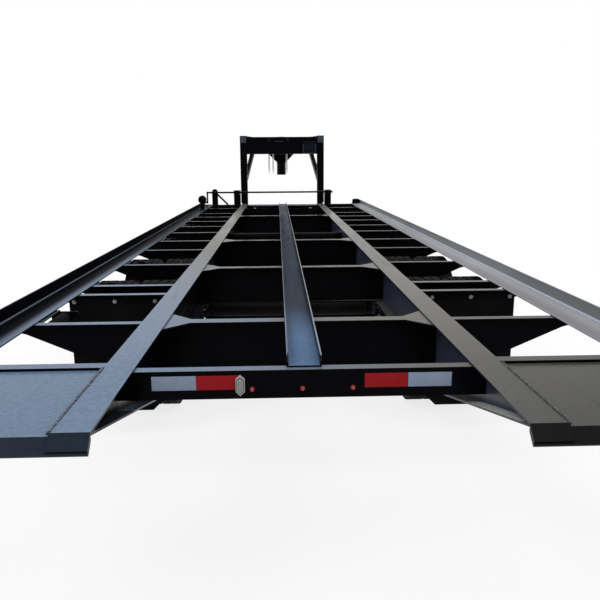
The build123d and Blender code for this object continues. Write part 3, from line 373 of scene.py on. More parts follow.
@dataclass(frozen=True)
class GlossPaint:
    """Black enamel on steel: dark where it stands upright, with a sheen on top and dust that carries a
    painted sky reflection; also painted shade low down, in the nook behind the bumper and on the near right
    tail, a painted bluish sheen on the right rail's inner web and a painted strip of light on its bottom
    flange at the tail.
    """

    name: str = "gloss_black_enamel"
    colour: Colour = (0.0022, 0.0023, 0.0034)
    # Dust with a painted sky reflection on faces that look up: cool to the left and near, warm to the right
    # and far.
    cool_dust: Colour = (0.228, 0.338, 0.525)
    warm_dust: Colour = (0.172, 0.164, 0.142)
    # Painted bluish sheen on the right main rail's inner web.
    web_tone: Colour = (0.040, 0.046, 0.074)
    # Painted light on the right rail's bottom flange at the tail.
    lit_tone: Colour = (0.60, 0.60, 0.57)
    dust_share: float = 0.85
    sheen: float = 0.25
    side_sheen: float = 0.30
    front_sheen: float = 0.42
    gloss: float = 0.22
    reflectance: float = 0.02
    peel_height: float = 0.00025
    peel_strength: float = 0.35
    scuff_roughness: float = 0.16
    patch_roughness: float = 0.10
    scuff_wipe: float = 0.25
    patch_wipe: float = 0.20
    even_dust: float = 0.62
    grain_dust: float = 0.16
    patch_dust: float = 0.22
    # Where the painted tint of the sky's reflection turns from cool to warm.
    turn_slope: float = 0.35
    cool_until: float = -2.6
    warm_from: float = -1.2
    # Shares of painted shade: low down on the left and on the right, in the nook behind the bumper, and on
    # the near right tail.
    low_loss: Span = (0.90, 0.35)
    nook_loss: float = 0.94
    right_tail_loss: float = 0.60
    # How much of the dust's painted sky reflection, and of the sheen, fades towards the front.
    far_dust_loss: float = 0.0
    far_sheen_loss: float = 0.35

    def material(self) -> Finish:
        """Builds the material.

        Returns:
            The material.
        """
        shader = Shader(self.name)
        x, y, z = (shader.axis(name) for name in "XYZ")
        back = -y
        patches = shader.noise(1.3, 5.0, (1.0, 0.5, 1.0)).between(0.36, 0.70)
        grains = shader.noise(60.0, 3.0).between(0.30, 0.75)
        scuffs = shader.noise(7.0, 5.0, (5.0, 0.30, 5.0)).between(0.56, 0.80)
        peel = shader.noise(240.0, 2.0) * 0.5 + shader.noise(14.0, 2.0) * 0.5
        top = shader.facing("Z").between(0.64, 0.98)
        right = x.between(*ZONES.middle_x)
        far = 1.0 - back.between(*ZONES.far_deck)
        under = (1.0 - back.between(*ZONES.tail_lip)) * (1.0 - z.between(*ZONES.plate_z))
        # Painted shade in the left nook between the bumper and the tail lip.
        nook_shade = under * back.between(*ZONES.bumper_back) * (1.0 - right) * self.nook_loss
        left_loss, right_loss = self.low_loss
        # Painted shade low down, stronger on the left.
        low = (1.0 - z.between(*ZONES.low_z)) * (left_loss - (left_loss - right_loss) * right)
        unshaded_share = (1.0 - low) * (1.0 - nook_shade)
        # Painted shade on the near right tail.
        tail_shade = (x + back * 0.5).between(*ZONES.right_tail) * self.right_tail_loss
        kept = self.dust_share * (1.0 - far * self.far_dust_loss) * (1.0 - tail_shade) * unshaded_share
        layer = self.even_dust + self.grain_dust * grains + self.patch_dust * patches
        # Dust with a painted sky reflection on faces that look up.
        dust_and_sky = top * layer * kept
        # Painted tint of the sky's reflection: cool to the left and near, warm to the right and far.
        sky_tint = (x + y * self.turn_slope).between(self.cool_until, self.warm_from)
        # Painted bluish sheen on the right main rail's inner web, below the deck.
        web_sheen = (-shader.facing("X")).between(0.80, 0.99) * x.between(*ZONES.main_rail_x)
        web_sheen = web_sheen * (1.0 - z.between(*ZONES.deck_z)) * (0.5 + 0.5 * patches)
        # Painted light: a pale strip on the right rail's bottom flange at the tail.
        lit = under * back.between(*ZONES.bumper_front) * top * x.between(*ZONES.right_plate_x)
        toned = shader.blend(dust_and_sky, self.colour, shader.blend(sky_tint, self.cool_dust, self.warm_dust))
        toned = shader.blend(web_sheen, toned, self.web_tone)
        level_coat = top * self.sheen * (1.0 - far * self.far_sheen_loss) * unshaded_share
        side_coat = shader.facing("X") * shader.facing("X") * (1.0 - nook_shade) * self.side_sheen
        front_coat = shader.facing("Y").between(0.20, 0.90) * self.front_sheen
        wiped = 1.0 - self.scuff_wipe * scuffs - self.patch_wipe * patches
        return shader.surface(
            Base_Color=shader.blend(lit, toned, self.lit_tone),
            Roughness=self.gloss + self.scuff_roughness * scuffs + self.patch_roughness * patches,
            Specular_IOR_Level=self.reflectance,
            Coat_Weight=wiped * (level_coat + side_coat + front_coat),
            Coat_Roughness=self.gloss,
            Normal=shader.bump(peel, self.peel_height, self.peel_strength),
        )


@dataclass(frozen=True)
class AnglePaint:
    """Black enamel on a side rail, with the sky's light painted into its colour: a painted reflection on the
    leg that rises from the tail and fades forward, a painted highlight on the fillet, and painted light or
    shade on the lip.
    """

    name: str
    side: Side
    # Painted colours: the leg's sky reflection, the fillet's highlight and the lip's light or shade.
    leg: Colour
    fillet: Colour
    lip: Colour
    # Where, and how much, the painted reflection fades forward.
    fade: Span
    fade_share: float
    lip_sheen: float
    # How the painted reflection changes across the leg towards the fillet.
    across: Span
    across_share: float
    rise: Span = (-6.4, -5.6)
    colour: Colour = (0.0022, 0.0023, 0.0034)
    leg_sheen: float = 0.18
    leg_share: float = 1.0
    mottle_share: float = 0.24
    even_bend: float = 0.35
    gloss: float = 0.26
    mottle_roughness: float = 0.12
    coat_gloss: float = 0.24
    peel_height: float = 0.0006
    peel_strength: float = 0.3
    reflectance: float = 0.02

    def material(self) -> Finish:
        """Builds the material.

        Returns:
            The material.
        """
        shader = Shader(self.name)
        sign = float(self.side.value)
        up = shader.facing("Z")
        inward = shader.facing("X") * -sign
        along = shader.axis("Y")
        clouds = shader.noise(2.2, 5.0, (1.0, 0.35, 1.0)).between(0.34, 0.70)
        mottle = 1.0 - self.mottle_share + self.mottle_share * clouds
        # Painted reflection along the rail: it rises from the tail and fades forward.
        film = along.between(*self.rise) * (1.0 - self.fade_share * along.between(*self.fade))
        outer = (shader.axis("X") * sign).between(*self.across)
        leg = up.between(0.90, 0.995) * film * mottle * (1.0 - self.across_share * outer) * self.leg_share
        lip = inward.between(0.80, 0.99)
        bend = (up * inward).between(0.12, 0.42)
        # Painted highlight on the fillet.
        lit_bend = bend * (self.even_bend + (1.0 - self.even_bend) * film)
        # Painted reflection on the leg and painted light or shade on the lip.
        toned = shader.blend(leg, self.colour, self.leg)
        toned = shader.blend(lip * mottle, toned, self.lip)
        return shader.surface(
            Base_Color=shader.blend(lit_bend, toned, self.fillet),
            Roughness=self.gloss + self.mottle_roughness * mottle,
            Specular_IOR_Level=self.reflectance,
            Coat_Weight=leg * self.leg_sheen + lip * self.lip_sheen,
            Coat_Roughness=self.coat_gloss,
            Normal=shader.bump(shader.noise(240.0, 2.0), self.peel_height, self.peel_strength),
        )


@dataclass(frozen=True)
class WornPaint:
    """Satin black undercarriage paint with road dust and a little rust in its pits."""

    name: str = "undercarriage_satin"
    colour: Colour = (0.0035, 0.0035, 0.0042)
    dust: Colour = (0.018, 0.017, 0.015)
    rust: Colour = (0.022, 0.010, 0.006)
    film_share: float = 0.55
    pit_share: float = 0.6
    roughness: float = 0.42
    film_roughness: float = 0.25
    pit_roughness: float = 0.2
    reflectance: float = 0.06

    def material(self) -> Finish:
        """Builds the material.

        Returns:
            The material.
        """
        shader = Shader(self.name)
        film = shader.noise(6.0, 6.0).between(0.40, 0.78)
        pits = shader.noise(55.0, 5.0).between(0.66, 0.74)
        toned = shader.blend(film * self.film_share, self.colour, self.dust)
        return shader.surface(
            Base_Color=shader.blend(pits * self.pit_share, toned, self.rust),
            Roughness=self.roughness + self.film_roughness * film + self.pit_roughness * pits,
            Specular_IOR_Level=self.reflectance,
            Normal=shader.bump(shader.noise(120.0, 3.0), 0.0008, 0.5),
        )


@dataclass(frozen=True)
class Rubber:
    """Black rubber with a grey bloom and a fine moulded grain."""

    name: str
    colour: Colour = (0.016, 0.016, 0.017)
    bloom: Colour = (0.060, 0.057, 0.052)
    bloom_share: float = 0.5
    roughness: float = 0.72
    reflectance: float = 0.15
    worn_roughness: float = 0.14

    def material(self) -> Finish:
        """Builds the material.

        Returns:
            The material.
        """
        shader = Shader(self.name)
        worn = shader.noise(7.0, 6.0).between(0.38, 0.75)
        return shader.surface(
            Base_Color=shader.blend(worn * self.bloom_share, self.colour, self.bloom),
            Roughness=self.roughness + self.worn_roughness * worn,
            Specular_IOR_Level=self.reflectance,
            Normal=shader.bump(shader.noise(420.0, 2.0), 0.0006, 0.5),
        )


@dataclass(frozen=True)
class Metal:
    """Bare or plated metal with a fine grain and tarnish."""

    name: str
    colour: Colour
    tarnish: Colour = (0.20, 0.19, 0.18)
    tarnish_share: float = 0.5
    roughness: float = 0.32
    stain_roughness: float = 0.22
    grain_roughness: float = 0.08

    def material(self) -> Finish:
        """Builds the material.

        Returns:
            The material.
        """
        shader = Shader(self.name)
        stains = shader.noise(18.0, 6.0).between(0.42, 0.75)
        grain = shader.noise(90.0, 3.0)
        roughened = self.roughness + self.stain_roughness * stains * self.tarnish_share
        return shader.surface(
            Base_Color=shader.blend(stains * self.tarnish_share, self.colour, self.tarnish),
            Roughness=roughened + self.grain_roughness * grain,
            Metallic=1.0,
            Normal=shader.bump(grain, 0.0003, 0.4),
        )


@dataclass(frozen=True)
class Enamel:
    """Plain coloured paint or plastic with slight mottling and grime."""

    name: str
    colour: Colour
    grime: Colour = (0.05, 0.047, 0.043)
    grime_share: float = 0.3
    roughness: float = 0.38
    coat: float = 0.0
    reflectance: float = 0.4
    film_roughness: float = 0.2

    def material(self) -> Finish:
        """Builds the material.

        Returns:
            The material.
        """
        shader = Shader(self.name)
        film = shader.noise(11.0, 6.0).between(0.42, 0.80)
        return shader.surface(
            Base_Color=shader.blend(film * self.grime_share, self.colour, self.grime),
            Roughness=self.roughness + self.film_roughness * film,
            Coat_Weight=self.coat,
            Specular_IOR_Level=self.reflectance,
            Normal=shader.bump(shader.noise(160.0, 2.0), 0.0006, 0.4),
        )


@dataclass(frozen=True)
class ReflectiveTape:
    """Prismatic tape: a fine cell pattern under a clear film."""

    name: str
    colour: Colour
    line: Colour
    cells: float = 150.0
    seam_share: float = 0.45
    smudge_share: float = 0.18
    roughness: float = 0.24
    smudge_roughness: float = 0.2
    reflectance: float = 0.08

    def material(self) -> Finish:
        """Builds the material.

        Returns:
            The material.
        """
        shader = Shader(self.name)
        inputs = {"Vector": shader.place(), "Scale": self.cells, "Randomness": 0.0}
        cells = shader.node("ShaderNodeTexVoronoi", {"feature": "DISTANCE_TO_EDGE"}, inputs)
        seams = 1.0 - cells.between(0.02, 0.10)
        smudge = shader.noise(25.0, 4.0).between(0.40, 0.80)
        toned = shader.blend(seams * self.seam_share, self.colour, self.line)
        return shader.surface(
            Base_Color=shader.blend(smudge * self.smudge_share, toned, self.line),
            Roughness=self.roughness + self.smudge_roughness * smudge,
            Specular_IOR_Level=self.reflectance,
            Normal=shader.bump(cells, 0.0004, 0.3),
        )


class Finishes:
    """The finished materials, made once and shared."""

    def __init__(self) -> None:
        """Builds every material."""
        self.paint = GlossPaint().material()
        # A copy with painted shade: almost none of the dust, painted sky reflection or sheen, for parts down
        # in shade.
        self.low_paint = GlossPaint("shaded_black_enamel", dust_share=0.05, sheen=0.05).material()
        # The channel's dust with a painted sky reflection: bluish near the tail, dark slate further forward.
        self.channel_paint = GlossPaint(
            "channel_black_enamel",
            cool_dust=(0.150, 0.270, 0.480),
            warm_dust=(0.014, 0.028, 0.062),
            sheen=0.020,
            reflectance=0.005,
            turn_slope=1.0,
            cool_until=-4.95,
            warm_from=-4.25,
        ).material()
        # Outriggers lose more of the painted sky reflection and the sheen towards the front.
        self.outrigger_paint = GlossPaint(
            "outrigger_black_enamel", far_dust_loss=0.50, far_sheen_loss=0.75
        ).material()
        # Weld beads, with somewhat less dust and painted sky reflection than the deck.
        self.weld = GlossPaint(
            "painted_weld", (0.004, 0.004, 0.006), reflectance=0.45, gloss=0.25, dust_share=0.6
        ).material()
        # The side rails' painted light: on the left a bluish painted reflection on the near leg, with a dark
        # lip; on the right a pale painted light on the leg and lip and a bright painted highlight on the
        # fillet.
        self.left_rail = AnglePaint(
            "side_rail_left_enamel",
            Side.LEFT,
            leg=(0.170, 0.220, 0.320),
            fillet=(0.130, 0.155, 0.205),
            lip=(0.003, 0.0033, 0.005),
            fade=(-3.0, -1.4),
            fade_share=0.75,
            lip_sheen=0.0,
            across=(1.152, 1.212),
            across_share=0.99,
            reflectance=0.004,
        ).material()
        self.right_rail = AnglePaint(
            "side_rail_right_enamel",
            Side.RIGHT,
            leg=(0.560, 0.560, 0.590),
            fillet=(0.50, 0.54, 0.64),
            lip=(0.262, 0.268, 0.285),
            fade=(-3.4, 1.0),
            fade_share=0.15,
            lip_sheen=0.30,
            across=(1.170, 1.285),
            across_share=-1.10,
            leg_share=0.52,
        ).material()
        # Slate for painted light: the uprights' end plates carry a painted reflection, the top box's seams
        # and the tool box's edges painted highlights.
        self.slate = Enamel(
            "slate_end_plate", (0.055, 0.064, 0.092), grime_share=0.2, roughness=0.4, reflectance=0.1
        ).material()
        # Pale strips that stand in for light on edges: painted highlights.
        self.worn_edge = Enamel(
            "worn_edge_enamel", (0.26, 0.28, 0.33), grime_share=0.35, roughness=0.35
        ).material()
        self.wheel = Enamel(
            "wheel_silver_paint", (0.56, 0.57, 0.58), (0.16, 0.14, 0.12), grime_share=0.45, coat=0.2
        ).material()
        self.box = Enamel(
            "box_dark_plastic", (0.0045, 0.0052, 0.0125), (0.014, 0.014, 0.016), 0.2, 0.3, reflectance=0.06
        ).material()
        self.lens = Enamel(
            "lamp_red_lens", (0.42, 0.016, 0.022), grime_share=0.15, roughness=0.16, coat=0.25
        ).material()
        self.lamp_shell = Enamel(
            "lamp_grey_shell", (0.46, 0.46, 0.45), grime_share=0.5, roughness=0.4
        ).material()
        self.webbing = Enamel(
            "strap_webbing", (0.006, 0.006, 0.008), (0.020, 0.019, 0.017), 0.4, 0.85, reflectance=0.05
        ).material()
        self.under = WornPaint().material()
        self.tyre = Rubber("tyre_side_rubber").material()
        self.tread = Rubber(
            "tyre_tread_rubber", (0.006, 0.006, 0.007), (0.022, 0.021, 0.019), reflectance=0.06
        ).material()
        self.flap = Rubber(
            "flap_rubber", (0.0028, 0.0028, 0.0034), (0.012, 0.0115, 0.011), 0.25, 0.55, reflectance=0.03
        ).material()
        self.grip = Rubber("grip_rubber", (0.006, 0.006, 0.007)).material()
        self.zinc = Metal("zinc_plate", (0.62, 0.64, 0.67), (0.26, 0.25, 0.24)).material()
        self.bolt = Metal("bolt_zinc", (0.24, 0.25, 0.27), (0.09, 0.085, 0.08), roughness=0.4).material()
        self.chrome = Metal("chrome_plate", (0.62, 0.63, 0.64), tarnish_share=0.05, roughness=0.08).material()
        # The white tape is coloured as it looks in shade, a dim bluish grey: painted shade.
        self.tape_white = ReflectiveTape("tape_white", (0.27, 0.33, 0.45), (0.15, 0.19, 0.27)).material()
        self.tape_red = ReflectiveTape("tape_red", (0.34, 0.010, 0.015), (0.20, 0.006, 0.010)).material()


# Meshes


class Form:
    """A mesh in the making that gathers closed forms."""

    def __init__(self) -> None:
        """Starts with nothing."""
        self.mesh = bmesh.new()

    def _bevel(self, faces: Iterable[bmesh.types.BMFace], width: float, segments: int) -> None:
        """Rounds the edges of some faces.

        Args:
            faces: The faces.
            width: Radius of the rounding.
            segments: Steps of the rounding.
        """
        edges = list(dict.fromkeys(e for f in faces for e in f.edges))
        rounding = {"profile": 0.6, "affect": "EDGES", "clamp_overlap": True}
        bmesh.ops.bevel(self.mesh, geom=edges, offset=width, segments=segments, **rounding)

    def block(self, low: Point, high: Point, bevel: float) -> "Form":
        """Adds a box with rounded edges.

        Args:
            low: Its lowest corner.
            high: Its highest corner.
            bevel: Radius of its edges.

        Returns:
            This form.
        """
        corners = [(x, y, z) for x in (low[0], high[0]) for y in (low[1], high[1]) for z in (low[2], high[2])]
        verts = [self.mesh.verts.new(c) for c in corners]
        sides = ((0, 1, 3, 2), (4, 6, 7, 5), (0, 4, 5, 1), (2, 3, 7, 6), (0, 2, 6, 4), (1, 5, 7, 3))
        faces = [self.mesh.faces.new([verts[i] for i in side]) for side in sides]
        if bevel:
            self._bevel(faces, bevel, 2)
        return self

    def prism(self, outline: Line, origin: Point, across: Point, depth: float, bevel: float = 0.0) -> "Form":
        """Adds an upright outline pushed to both sides of its plane.

        Args:
            outline: Corners, as distance across and height.
            origin: The outline's zero.
            across: Level direction of the first coordinate.
            depth: Whole thickness.
            bevel: Radius of its edges.

        Returns:
            This form.
        """
        right, top, zero = Vector(across), Vector(Z_AXIS), Vector(origin)
        out = right.cross(top).normalized() * (depth / 2)
        flat = [zero + right * a + top * b for a, b in outline]
        front = [self.mesh.verts.new(p + out) for p in flat]
        back = [self.mesh.verts.new(p - out) for p in flat]
        faces = [self.mesh.faces.new(front), self.mesh.faces.new(list(reversed(back)))]
        for i in range(len(flat)):
            j = (i + 1) % len(flat)
            faces.append(self.mesh.faces.new((front[j], front[i], back[i], back[j])))
        if bevel:
            self._bevel(faces, bevel, 1)
        return self

    def turned(self, profile: Line, centre: Point, axis: Point, segments: int) -> "Form":
        """Adds a closed profile turned round an axis.

        Args:
            profile: Pairs of distance along the axis and radius.
            centre: The axis's zero.
            axis: Its direction.
            segments: Steps of the turn.

        Returns:
            This form.
        """
        along, zero = Vector(axis).normalized(), Vector(centre)
        side = along.orthogonal().normalized()
        other = along.cross(side)
        rings = []
        for step in range(segments):
            angle = 2 * math.pi * step / segments
            spoke = side * math.cos(angle) + other * math.sin(angle)
            ring = [zero + along * a + spoke * max(r, AXIS_RADIUS) for a, r in profile]
            rings.append([self.mesh.verts.new(p) for p in ring])
        for step, ring in enumerate(rings):
            following = rings[(step + 1) % segments]
            for i in range(len(profile)):
                j = (i + 1) % len(profile)
                self.mesh.faces.new((ring[i], following[i], following[j], ring[j]))
        bmesh.ops.remove_doubles(self.mesh, verts=[v for ring in rings for v in ring], dist=MERGE_GAP)
        return self

    def rod(self, points: Line, radius: float, segments: int, closed: bool = False) -> "Form":
        """Adds a round bar along a line of points.

        Args:
            points: The line's points.
            radius: The bar's radius.
            segments: Sides of the bar.
            closed: Whether the last point joins the first.

        Returns:
            This form.
        """
        line = [Vector(p) for p in points]
        count = len(line)
        angles = [2 * math.pi * k / segments for k in range(segments)]
        rings: list[list[bmesh.types.BMVert]] = []
        for i, spot in enumerate(line):
            before = line[i - 1] if (i > 0 or closed) else spot
            after = line[(i + 1) % count] if (i < count - 1 or closed) else spot
            along = (after - before).normalized()
            side = along.orthogonal() if i == 0 else side - along * side.dot(along)
            side.normalize()
            other = along.cross(side)
            ring = [spot + (side * math.cos(a) + other * math.sin(a)) * radius for a in angles]
            rings.append([self.mesh.verts.new(p) for p in ring])
        for i in range(count if closed else count - 1):
            ring, following = rings[i], rings[(i + 1) % count]
            for k in range(segments):
                m = (k + 1) % segments
                self.mesh.faces.new((ring[k], ring[m], following[m], following[k]))
        if not closed:
            self.mesh.faces.new(list(reversed(rings[0])))
            self.mesh.faces.new(rings[-1])
        return self

    def copy_in(self, mesh: bpy.types.Mesh, place: Matrix) -> "Form":
        """Adds a ready mesh.

        Args:
            mesh: The mesh.
            place: Where it goes.

        Returns:
            This form.
        """
        start = len(self.mesh.verts)
        self.mesh.from_mesh(mesh)
        self.mesh.verts.ensure_lookup_table()
        bmesh.ops.transform(self.mesh, matrix=place, verts=self.mesh.verts[start:])
        return self

    def to_mesh(self, name: str, smooth_angle: float = SMOOTH_ANGLE) -> bpy.types.Mesh:
        """Ends the form as a mesh.

        Args:
            name: The mesh's name.
            smooth_angle: Edges sharper than this stay sharp, in degrees.

        Returns:
            The mesh.
        """
        bmesh.ops.recalc_face_normals(self.mesh, faces=self.mesh.faces)
        mesh = bpy.data.meshes.new(name)
        self.mesh.to_mesh(mesh)
        self.mesh.free()
        soften(mesh, smooth_angle)
        return mesh

    def piece(
        self,
        name: str,
        finish: Finish,
        body: str,
        slot: Slot,
        *nodes: str,
        smooth_angle: float = SMOOTH_ANGLE,
    ) -> None:
        """Ends the form as a dressed piece that rides on a body.

        Args:
            name: The piece's name.
            finish: Its material.
            body: The body that it rides on.
            slot: The record's slot of its finish.
            *nodes: Frame nodes that it stands for.
            smooth_angle: Edges sharper than this stay sharp, in degrees.
        """
        seat(linked(name, self.to_mesh(name, smooth_angle)), finish, body, slot, *nodes)


def soften(mesh: bpy.types.Mesh, angle: float) -> None:
    """Shades a mesh smooth but for edges sharper than an angle in degrees."""
    mesh.shade_smooth()
    mesh.set_sharp_from_angle(angle=math.radians(angle))


def linked(name: str, mesh: bpy.types.Mesh) -> bpy.types.Object:
    """Makes an object of a mesh and puts it into the scene.

    Args:
        name: The object's name.
        mesh: Its mesh.

    Returns:
        The object.
    """
    piece = bpy.data.objects.new(name, mesh)
    bpy.context.scene.collection.objects.link(piece)
    return piece


def evaluated(piece: bpy.types.Object) -> bpy.types.Mesh:
    """Turns an object with its modifiers into a plain mesh, and removes the object.

    Args:
        piece: The object.

    Returns:
        The mesh.
    """
    graph = bpy.context.evaluated_depsgraph_get()
    mesh = bpy.data.meshes.new_from_object(piece.evaluated_get(graph))
    bpy.data.objects.remove(piece)
    return mesh


def seat(piece: bpy.types.Object, finish: Finish, body: str, slot: Slot, *nodes: str) -> None:
    """Dresses a piece and lets it ride.

    Args:
        piece: The object.
        finish: Its material.
        body: The body that it rides on.
        slot: The record's slot of its finish; not used.
        *nodes: Frame nodes that it stands for.
    """
    piece.data.materials.clear()
    piece.data.materials.append(finish)
    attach(piece, body)
    if nodes:
        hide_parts(*nodes)
    LOG.info("%s rides on %s: %d faces", piece.name, body, len(piece.data.polygons))


def spokes(count: int, phase: float = 0.0) -> Iterator[Vector]:
    """Goes once round the X axis in even steps.

    Args:
        count: Number of steps.
        phase: Share of a step by which the first one is turned.

    Yields:
        Unit directions, from forward over upward.
    """
    for step in range(count):
        angle = 2 * math.pi * (step + phase) / count
        yield Vector((0.0, math.cos(angle), math.sin(angle)))


def level_bead(x: float, y: float, z: float, half: float) -> Line:
    """Ends of a level line along Y, half its length to each side of a point."""
    return [(x, y - half, z), (x, y + half, z)]


# What repeats


class Pattern(Nodes):
    """A Geometry Nodes tree that repeats one small shape."""

    def __init__(self, name: str, **sizes: float) -> None:
        """Starts a tree with named size inputs and their values."""
        super().__init__(bpy.data.node_groups.new(name, "GeometryNodeTree"))
        for way in ("INPUT", "OUTPUT"):
            self.tree.interface.new_socket("Geometry", in_out=way, socket_type="NodeSocketGeometry")
        self.values: dict[str, Any] = {}
        for label, value in sizes.items():
            kind = "NodeSocketInt" if isinstance(value, int) else "NodeSocketFloat"
            socket = self.tree.interface.new_socket(label, in_out="INPUT", socket_type=kind)
            self.values[socket.identifier] = value

    def size(self, label: str) -> Field:
        """The named input of the tree."""
        return self.node("NodeGroupInput", output=label)

    def facing(self, pivot: str = "AUTO") -> Field:
        """Finds the rotation that turns Z towards each point's facing attribute.

        Args:
            pivot: Axis of the turn, where it isn't free.

        Returns:
            The rotation.
        """
        attribute = {"data_type": "FLOAT_VECTOR"}
        way = self.node("GeometryNodeInputNamedAttribute", attribute, {"Name": "facing"}, "Attribute")
        settings = {"axis": "Z", "pivot_axis": pivot}
        return self.node("FunctionNodeAlignRotationToVector", settings, {"Vector": way})

    def scatter(self, low: float, high: float) -> Field:
        """A random vector for each point, with every part between two numbers."""
        inputs = {"Min": (low,) * 3, "Max": (high,) * 3, "Seed": self.size("Seed")}
        return self.node("FunctionNodeRandomValue", {"data_type": "FLOAT_VECTOR"}, inputs)

    def repeat(self, shape: Field, points: Field, finish: Finish, **turns: Field) -> None:
        """Ends the tree with the shape on each point.

        Args:
            shape: What is repeated.
            points: Where it stands.
            finish: What it is made of.
            **turns: Its Rotation and Scale.
        """
        inputs = {"Points": points, "Instance": shape, **turns}
        placed = self.node("GeometryNodeInstanceOnPoints", inputs=inputs)
        real = self.node("GeometryNodeRealizeInstances", inputs={"Geometry": placed})
        dressed = self.node("GeometryNodeSetMaterial", inputs={"Geometry": real, "Material": finish})
        self.node("NodeGroupOutput", inputs={0: dressed})

    def on(self, name: str, seed_mesh: bpy.types.Mesh) -> bpy.types.Object:
        """Runs the tree on a mesh and keeps the result as a plain mesh.

        Args:
            name: Name of the new piece.
            seed_mesh: Points or lines that the tree starts from.

        Returns:
            The new piece.
        """
        start = linked(name + "_seed", seed_mesh)
        modifier = start.modifiers.new("pattern", "NODES")
        modifier.node_group = self.tree
        for identifier, value in self.values.items():
            modifier[identifier] = value
        mesh = evaluated(start)
        soften(mesh, SMOOTH_ANGLE)
        return linked(name, mesh)


def spots(places: Iterable[Placing]) -> bpy.types.Mesh:
    """Makes loose points that each know where they face.

    Args:
        places: Pairs of a point and its facing direction.

    Returns:
        The mesh of points.
    """
    pairs = list(places)
    mesh = bpy.data.meshes.new("spots")
    mesh.from_pydata([tuple(p) for p, _ in pairs], [], [])
    facing = mesh.attributes.new("facing", "FLOAT_VECTOR", "POINT")
    facing.data.foreach_set("vector", [c for _, way in pairs for c in way])
    return mesh


def lines(runs: Iterable[Line]) -> bpy.types.Mesh:
    """Makes loose edges along several lines of points.

    Args:
        runs: The lines.

    Returns:
        The mesh of edges.
    """
    verts: list[tuple[float, ...]] = []
    edges: list[tuple[int, int]] = []
    for run in runs:
        start = len(verts)
        verts += [tuple(p) for p in run]
        edges += [(start + i, start + i + 1) for i in range(len(run) - 1)]
    mesh = bpy.data.meshes.new("lines")
    mesh.from_pydata(verts, edges, [])
    return mesh


@dataclass(frozen=True)
class BoltShape:
    """Parts of a bolt's head, as shares of its radius; head_rise is a share of its own height."""

    head_height: float = 0.75
    head_rise: float = 0.55
    dome_foot: float = 0.55
    dome_top: float = 0.42
    dome_height: float = 0.45
    dome_rise: float = 0.78
    washer_radius: float = 1.35
    washer_height: float = 0.2


BOLT = BoltShape()


@dataclass(frozen=True)
class BeadShape:
    """Spacing of weld beads in radii, the span of their sizes and of their turns in radians."""

    spacing: float = 1.1
    scale: Span = (0.75, 1.15)
    turn: Span = (0.0, 3.0)


BEAD = BeadShape()


def bolts(
    name: str, places: Iterable[Placing], radius: float, finish: Finish, body: str, slot: Slot = Slot.ZINC
) -> None:
    """Sets a domed hexagon head on a washer at each place.

    Args:
        name: Name of the piece.
        places: Pairs of a seat point and its outward direction.
        radius: Radius over the hexagon's corners.
        finish: The bolts' material.
        body: The body that they ride on.
        slot: The record's slot of their finish.
    """
    sizes = {"Head Radius": 1.0, "Head Height": BOLT.head_height, "Washer Radius": BOLT.washer_radius}
    pattern = Pattern("Bolt heads", **{label: share * radius for label, share in sizes.items()})
    filled, height = {"fill_type": "NGON"}, pattern.size("Head Height")
    hexagon = {"Vertices": 6, "Radius": pattern.size("Head Radius"), "Depth": height}
    washer_size = {"Radius": pattern.size("Washer Radius"), "Depth": radius * BOLT.washer_height}
    cone = {
        "Vertices": 12,
        "Radius Bottom": radius * BOLT.dome_foot,
        "Radius Top": radius * BOLT.dome_top,
        "Depth": radius * BOLT.dome_height,
    }
    head = pattern.node("GeometryNodeMeshCylinder", filled, hexagon)
    washer = pattern.node("GeometryNodeMeshCylinder", filled, {"Vertices": 16, **washer_size})
    dome = pattern.node("GeometryNodeMeshCone", filled, cone)
    lift = pattern.node("ShaderNodeCombineXYZ", inputs={"Z": height * BOLT.head_rise})
    raised = pattern.node("GeometryNodeTransform", inputs={"Geometry": head, "Translation": lift})
    rise = (0.0, 0.0, radius * BOLT.dome_rise)
    tip = pattern.node("GeometryNodeTransform", inputs={"Geometry": dome, "Translation": rise})
    whole = pattern.node("GeometryNodeJoinGeometry", inputs={"Geometry": [raised, tip, washer]})
    pattern.repeat(whole, pattern.size("Geometry"), finish, Rotation=pattern.facing())
    seat(pattern.on(name, spots(places)), finish, body, slot)


def weld_beads(name: str, runs: Iterable[Line], radius: float, finish: Finish) -> None:
    """Lays overlapping beads of weld along lines of the deck.

    Args:
        name: Name of the piece.
        runs: Lines of points to weld along.
        radius: Radius of a bead.
        finish: The beads' material.
    """
    sizes = {"Bead Radius": radius, "Bead Spacing": radius * BEAD.spacing, "Seed": SEED}
    pattern = Pattern("Weld beads", **sizes)
    curve = pattern.node("GeometryNodeMeshToCurve", inputs={"Mesh": pattern.size("Geometry")})
    spacing = {"Curve": curve, "Length": pattern.size("Bead Spacing")}
    even = pattern.node("GeometryNodeResampleCurve", {"mode": "LENGTH"}, spacing)
    ball = {"Radius": pattern.size("Bead Radius"), "Subdivisions": 1}
    bead = pattern.node("GeometryNodeMeshIcoSphere", inputs=ball)
    scale, turn = pattern.scatter(*BEAD.scale), pattern.scatter(*BEAD.turn)
    pattern.repeat(bead, even, finish, Scale=scale, Rotation=turn)
    seat(pattern.on(name, lines(runs)), finish, "deck", Slot.PAINT)


# Wheels and tyres


